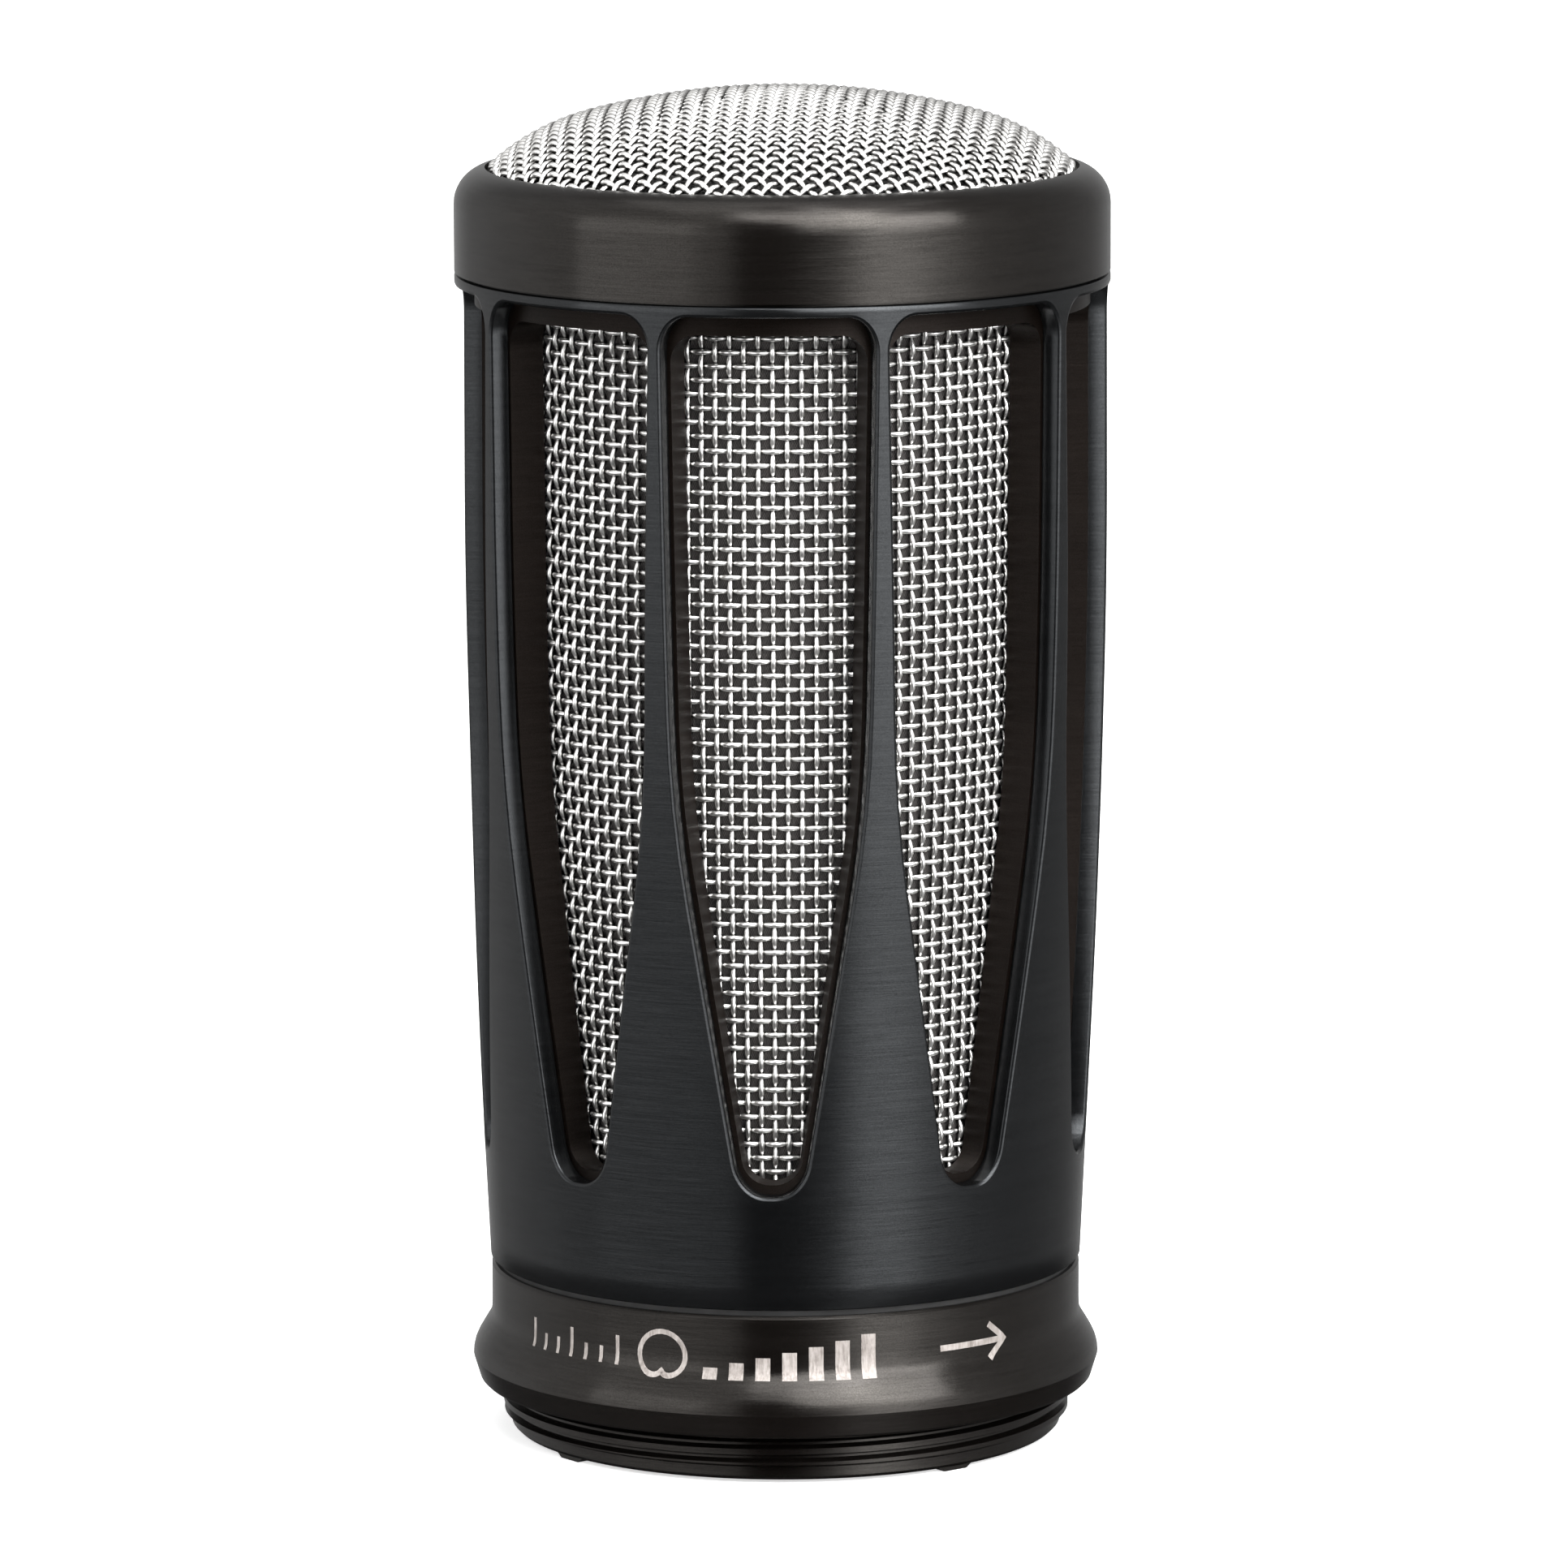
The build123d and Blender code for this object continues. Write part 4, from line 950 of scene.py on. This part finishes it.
marks = [(cardioid(PATTERN_PLACE, PATTERN_SIZE), PATTERN_LINE, True)]
for k in range(BAR_COUNT):
    height = (BAR_SHORTEST + BAR_GROWTH * k) * MM
    x = (BAR_START + BAR_PITCH * k) * MM
    marks.append(([(x, BAR_FOOT), (x, BAR_FOOT + height)], BAR_WIDTH, False))
for k in range(TICK_COUNT):
    x = (TICK_START + TICK_PITCH * k) * MM
    height = TICK_LONG if k % 3 == 0 else TICK_SHORT
    marks.append(([(x, TICK_FOOT), (x, TICK_FOOT + height)], TICK_WIDTH, False))
arrow_head = [
    (ARROW_BARB, MARK_Z + ARROW_HALF),
    (ARROW_TIP, MARK_Z),
    (ARROW_BARB, MARK_Z - ARROW_HALF),
]
marks.append(([(ARROW_START, MARK_Z), (ARROW_END, MARK_Z)], ARROW_WIDTH, False))
marks.append((arrow_head, ARROW_WIDTH, False))
mark_vertices, mark_faces = [], []
for points, width, closed in marks:
    vertices, faces = mark_strip(points, width, closed)
    offset = len(mark_vertices)
    mark_vertices += vertices
    mark_faces += [tuple(i + offset for i in face) for face in faces]
new_piece("base_ring_marks", mark_vertices, mark_faces, "base", "engraved")

# ---------------------------------------------------------------- floor, light and camera
FLOOR_SIZE = 6.0
FLOOR_GLOW = 0.6


def make_floor():
    """A plain pale floor under the lugs, out of the way of reflections."""
    half = FLOOR_SIZE / 2
    mesh = bpy.data.meshes.new("floor")
    mesh.from_pydata(
        [(-half, -half, 0), (half, -half, 0), (half, half, 0), (-half, half, 0)], [], [(0, 1, 2, 3)]
    )
    made, tree, shader = new_material("pale_floor", Roughness=0.9)
    shader.inputs["Specular IOR Level"].default_value = 0.1
    shade = noise(tree, object_coords(tree), scale=3.0, detail=2.0, roughness=0.5)
    tree.links.new(
        ramp(tree, shade, [(0.3, (0.93, 0.93, 0.93)), (0.7, (0.95, 0.95, 0.95))]),
        shader.inputs["Base Color"],
    )
    shader.inputs["Emission Color"].default_value = (1, 1, 1, 1)
    shader.inputs["Emission Strength"].default_value = FLOOR_GLOW
    mesh.materials.append(made)
    floor = bpy.data.objects.new("floor", mesh)
    bpy.context.scene.collection.objects.link(floor)
    floor.visible_glossy = False


def area_light(name, azimuth, elevation, distance, size, radiance, target):
    """A soft box that looks at a target; azimuth turns from the front towards +X."""
    data = bpy.data.lights.new(name, "AREA")
    data.shape = "RECTANGLE"
    data.size, data.size_y = size
    data.energy = radiance * math.pi * size[0] * size[1]
    lamp = bpy.data.objects.new(name, data)
    bpy.context.scene.collection.objects.link(lamp)
    a, e = math.radians(azimuth), math.radians(elevation)
    back = Vector((math.sin(a) * math.cos(e), -math.cos(a) * math.cos(e), math.sin(e)))
    lamp.location = target + back * distance
    lamp.rotation_mode = "QUATERNION"
    lamp.rotation_quaternion = (-back).to_track_quat("-Z", "Y")
    return lamp


WALL_STRENGTH = 5.0
# The walls' radiance by azimuth in degrees from the front towards +X.
WALL_STOPS = (
    (-180, 0.34),
    (-140, 0.38),
    (-100, 0.9),
    (-60, 1.15),
    (-16, 1.1),
    (-14.5, 0.03),
    (9, 0.02),
    (22, 0.8),
    (34, 4.4),
    (48, 4.2),
    (58, 2.2),
    (78, 0.9),
    (100, 0.5),
    (140, 0.3),
    (170, 0.34),
)


# The Mix node's colour sockets, by their places among its inputs and outputs.
MIX_COLOUR_A, MIX_COLOUR_B, MIX_COLOUR_RESULT = 6, 7, 2
# Factor on the walls by height, where 0 is straight down, 0.5 level and 1 straight up.
DARK_BELOW = ((0.3, (0.12, 0.12, 0.12)), (0.41, (1.0, 1.0, 1.0)))


def make_world():
    """Studio walls as plain light: pale all round, with a dark gap behind the camera."""
    world = bpy.data.worlds.new("studio")
    bpy.context.scene.world = world
    world.use_nodes = True
    tree = world.node_tree
    place = add_node(tree, "ShaderNodeTexCoord")
    parts = add_node(tree, "ShaderNodeSeparateXYZ")
    tree.links.new(place.outputs["Generated"], parts.inputs["Vector"])
    minus_y = math_node(tree, "MULTIPLY", parts.outputs["Y"], -1.0)
    turn = math_node(tree, "ARCTAN2", parts.outputs["X"], minus_y)
    share = math_node(tree, "ADD", math_node(tree, "MULTIPLY", turn, 0.5 / math.pi), 0.5)
    stops = [((a + 180) / 360, (v / WALL_STRENGTH,) * 3) for a, v in WALL_STOPS]
    around = ramp(tree, share, stops)
    height = math_node(tree, "ADD", math_node(tree, "MULTIPLY", parts.outputs["Z"], 0.5), 0.5)
    floor_shade = ramp(tree, height, DARK_BELOW)
    shaded = add_node(tree, "ShaderNodeMix", data_type="RGBA", blend_type="MULTIPLY")
    shaded.inputs["Factor"].default_value = 1.0
    tree.links.new(around, shaded.inputs[MIX_COLOUR_A])
    tree.links.new(floor_shade, shaded.inputs[MIX_COLOUR_B])
    background = tree.nodes["Background"]
    background.inputs["Strength"].default_value = WALL_STRENGTH
    tree.links.new(shaded.outputs[MIX_COLOUR_RESULT], background.inputs["Color"])


make_floor()
make_world()
head_middle = (cad_low + cad_high) / 2
# Each soft box: its azimuth and elevation in degrees, its distance and size in metres, its radiance.
SOFT_BOXES = (
    ("overhead", 0, 84, 0.6, (0.6, 0.6), 0.9),
    ("front_softbox", 14, 54, 0.6, (0.4, 0.24), 7.0),
    ("right_softbox", 38, 32, 0.5, (0.5, 0.3), 6.5),
    ("left_softbox", -50, 12, 0.6, (0.5, 0.4), 1.3),
)
for name, azimuth, elevation, distance, size, radiance in SOFT_BOXES:
    area_light(name, azimuth, elevation, distance, size, radiance, head_middle)

CAMERA_DISTANCE = 0.540
CAMERA_HEIGHT = 0.12355
CAMERA_AZIMUTH = 2.6
CAMERA_PITCH = 9.22
CAMERA_ROLL = -0.18
CAMERA_LENS = 228.4
CAMERA_SENSOR = 36
CAMERA_CLIP = (0.01, 20)

camera_data = bpy.data.cameras.new("camera")
camera_data.sensor_width = CAMERA_SENSOR
camera_data.lens = CAMERA_LENS
camera_data.clip_start, camera_data.clip_end = CAMERA_CLIP
camera = bpy.data.objects.new("camera", camera_data)
bpy.context.scene.collection.objects.link(camera)
side = math.radians(CAMERA_AZIMUTH)
camera.location = (CAMERA_DISTANCE * math.sin(side), -CAMERA_DISTANCE * math.cos(side), CAMERA_HEIGHT)
aim = Euler((math.radians(90 - CAMERA_PITCH), 0, side)).to_quaternion()
roll = Euler((0, 0, math.radians(CAMERA_ROLL))).to_quaternion()
camera.rotation_mode = "QUATERNION"
camera.rotation_quaternion = aim @ roll
bpy.context.scene.camera = camera
bpy.context.scene.view_settings.view_transform = "Standard"
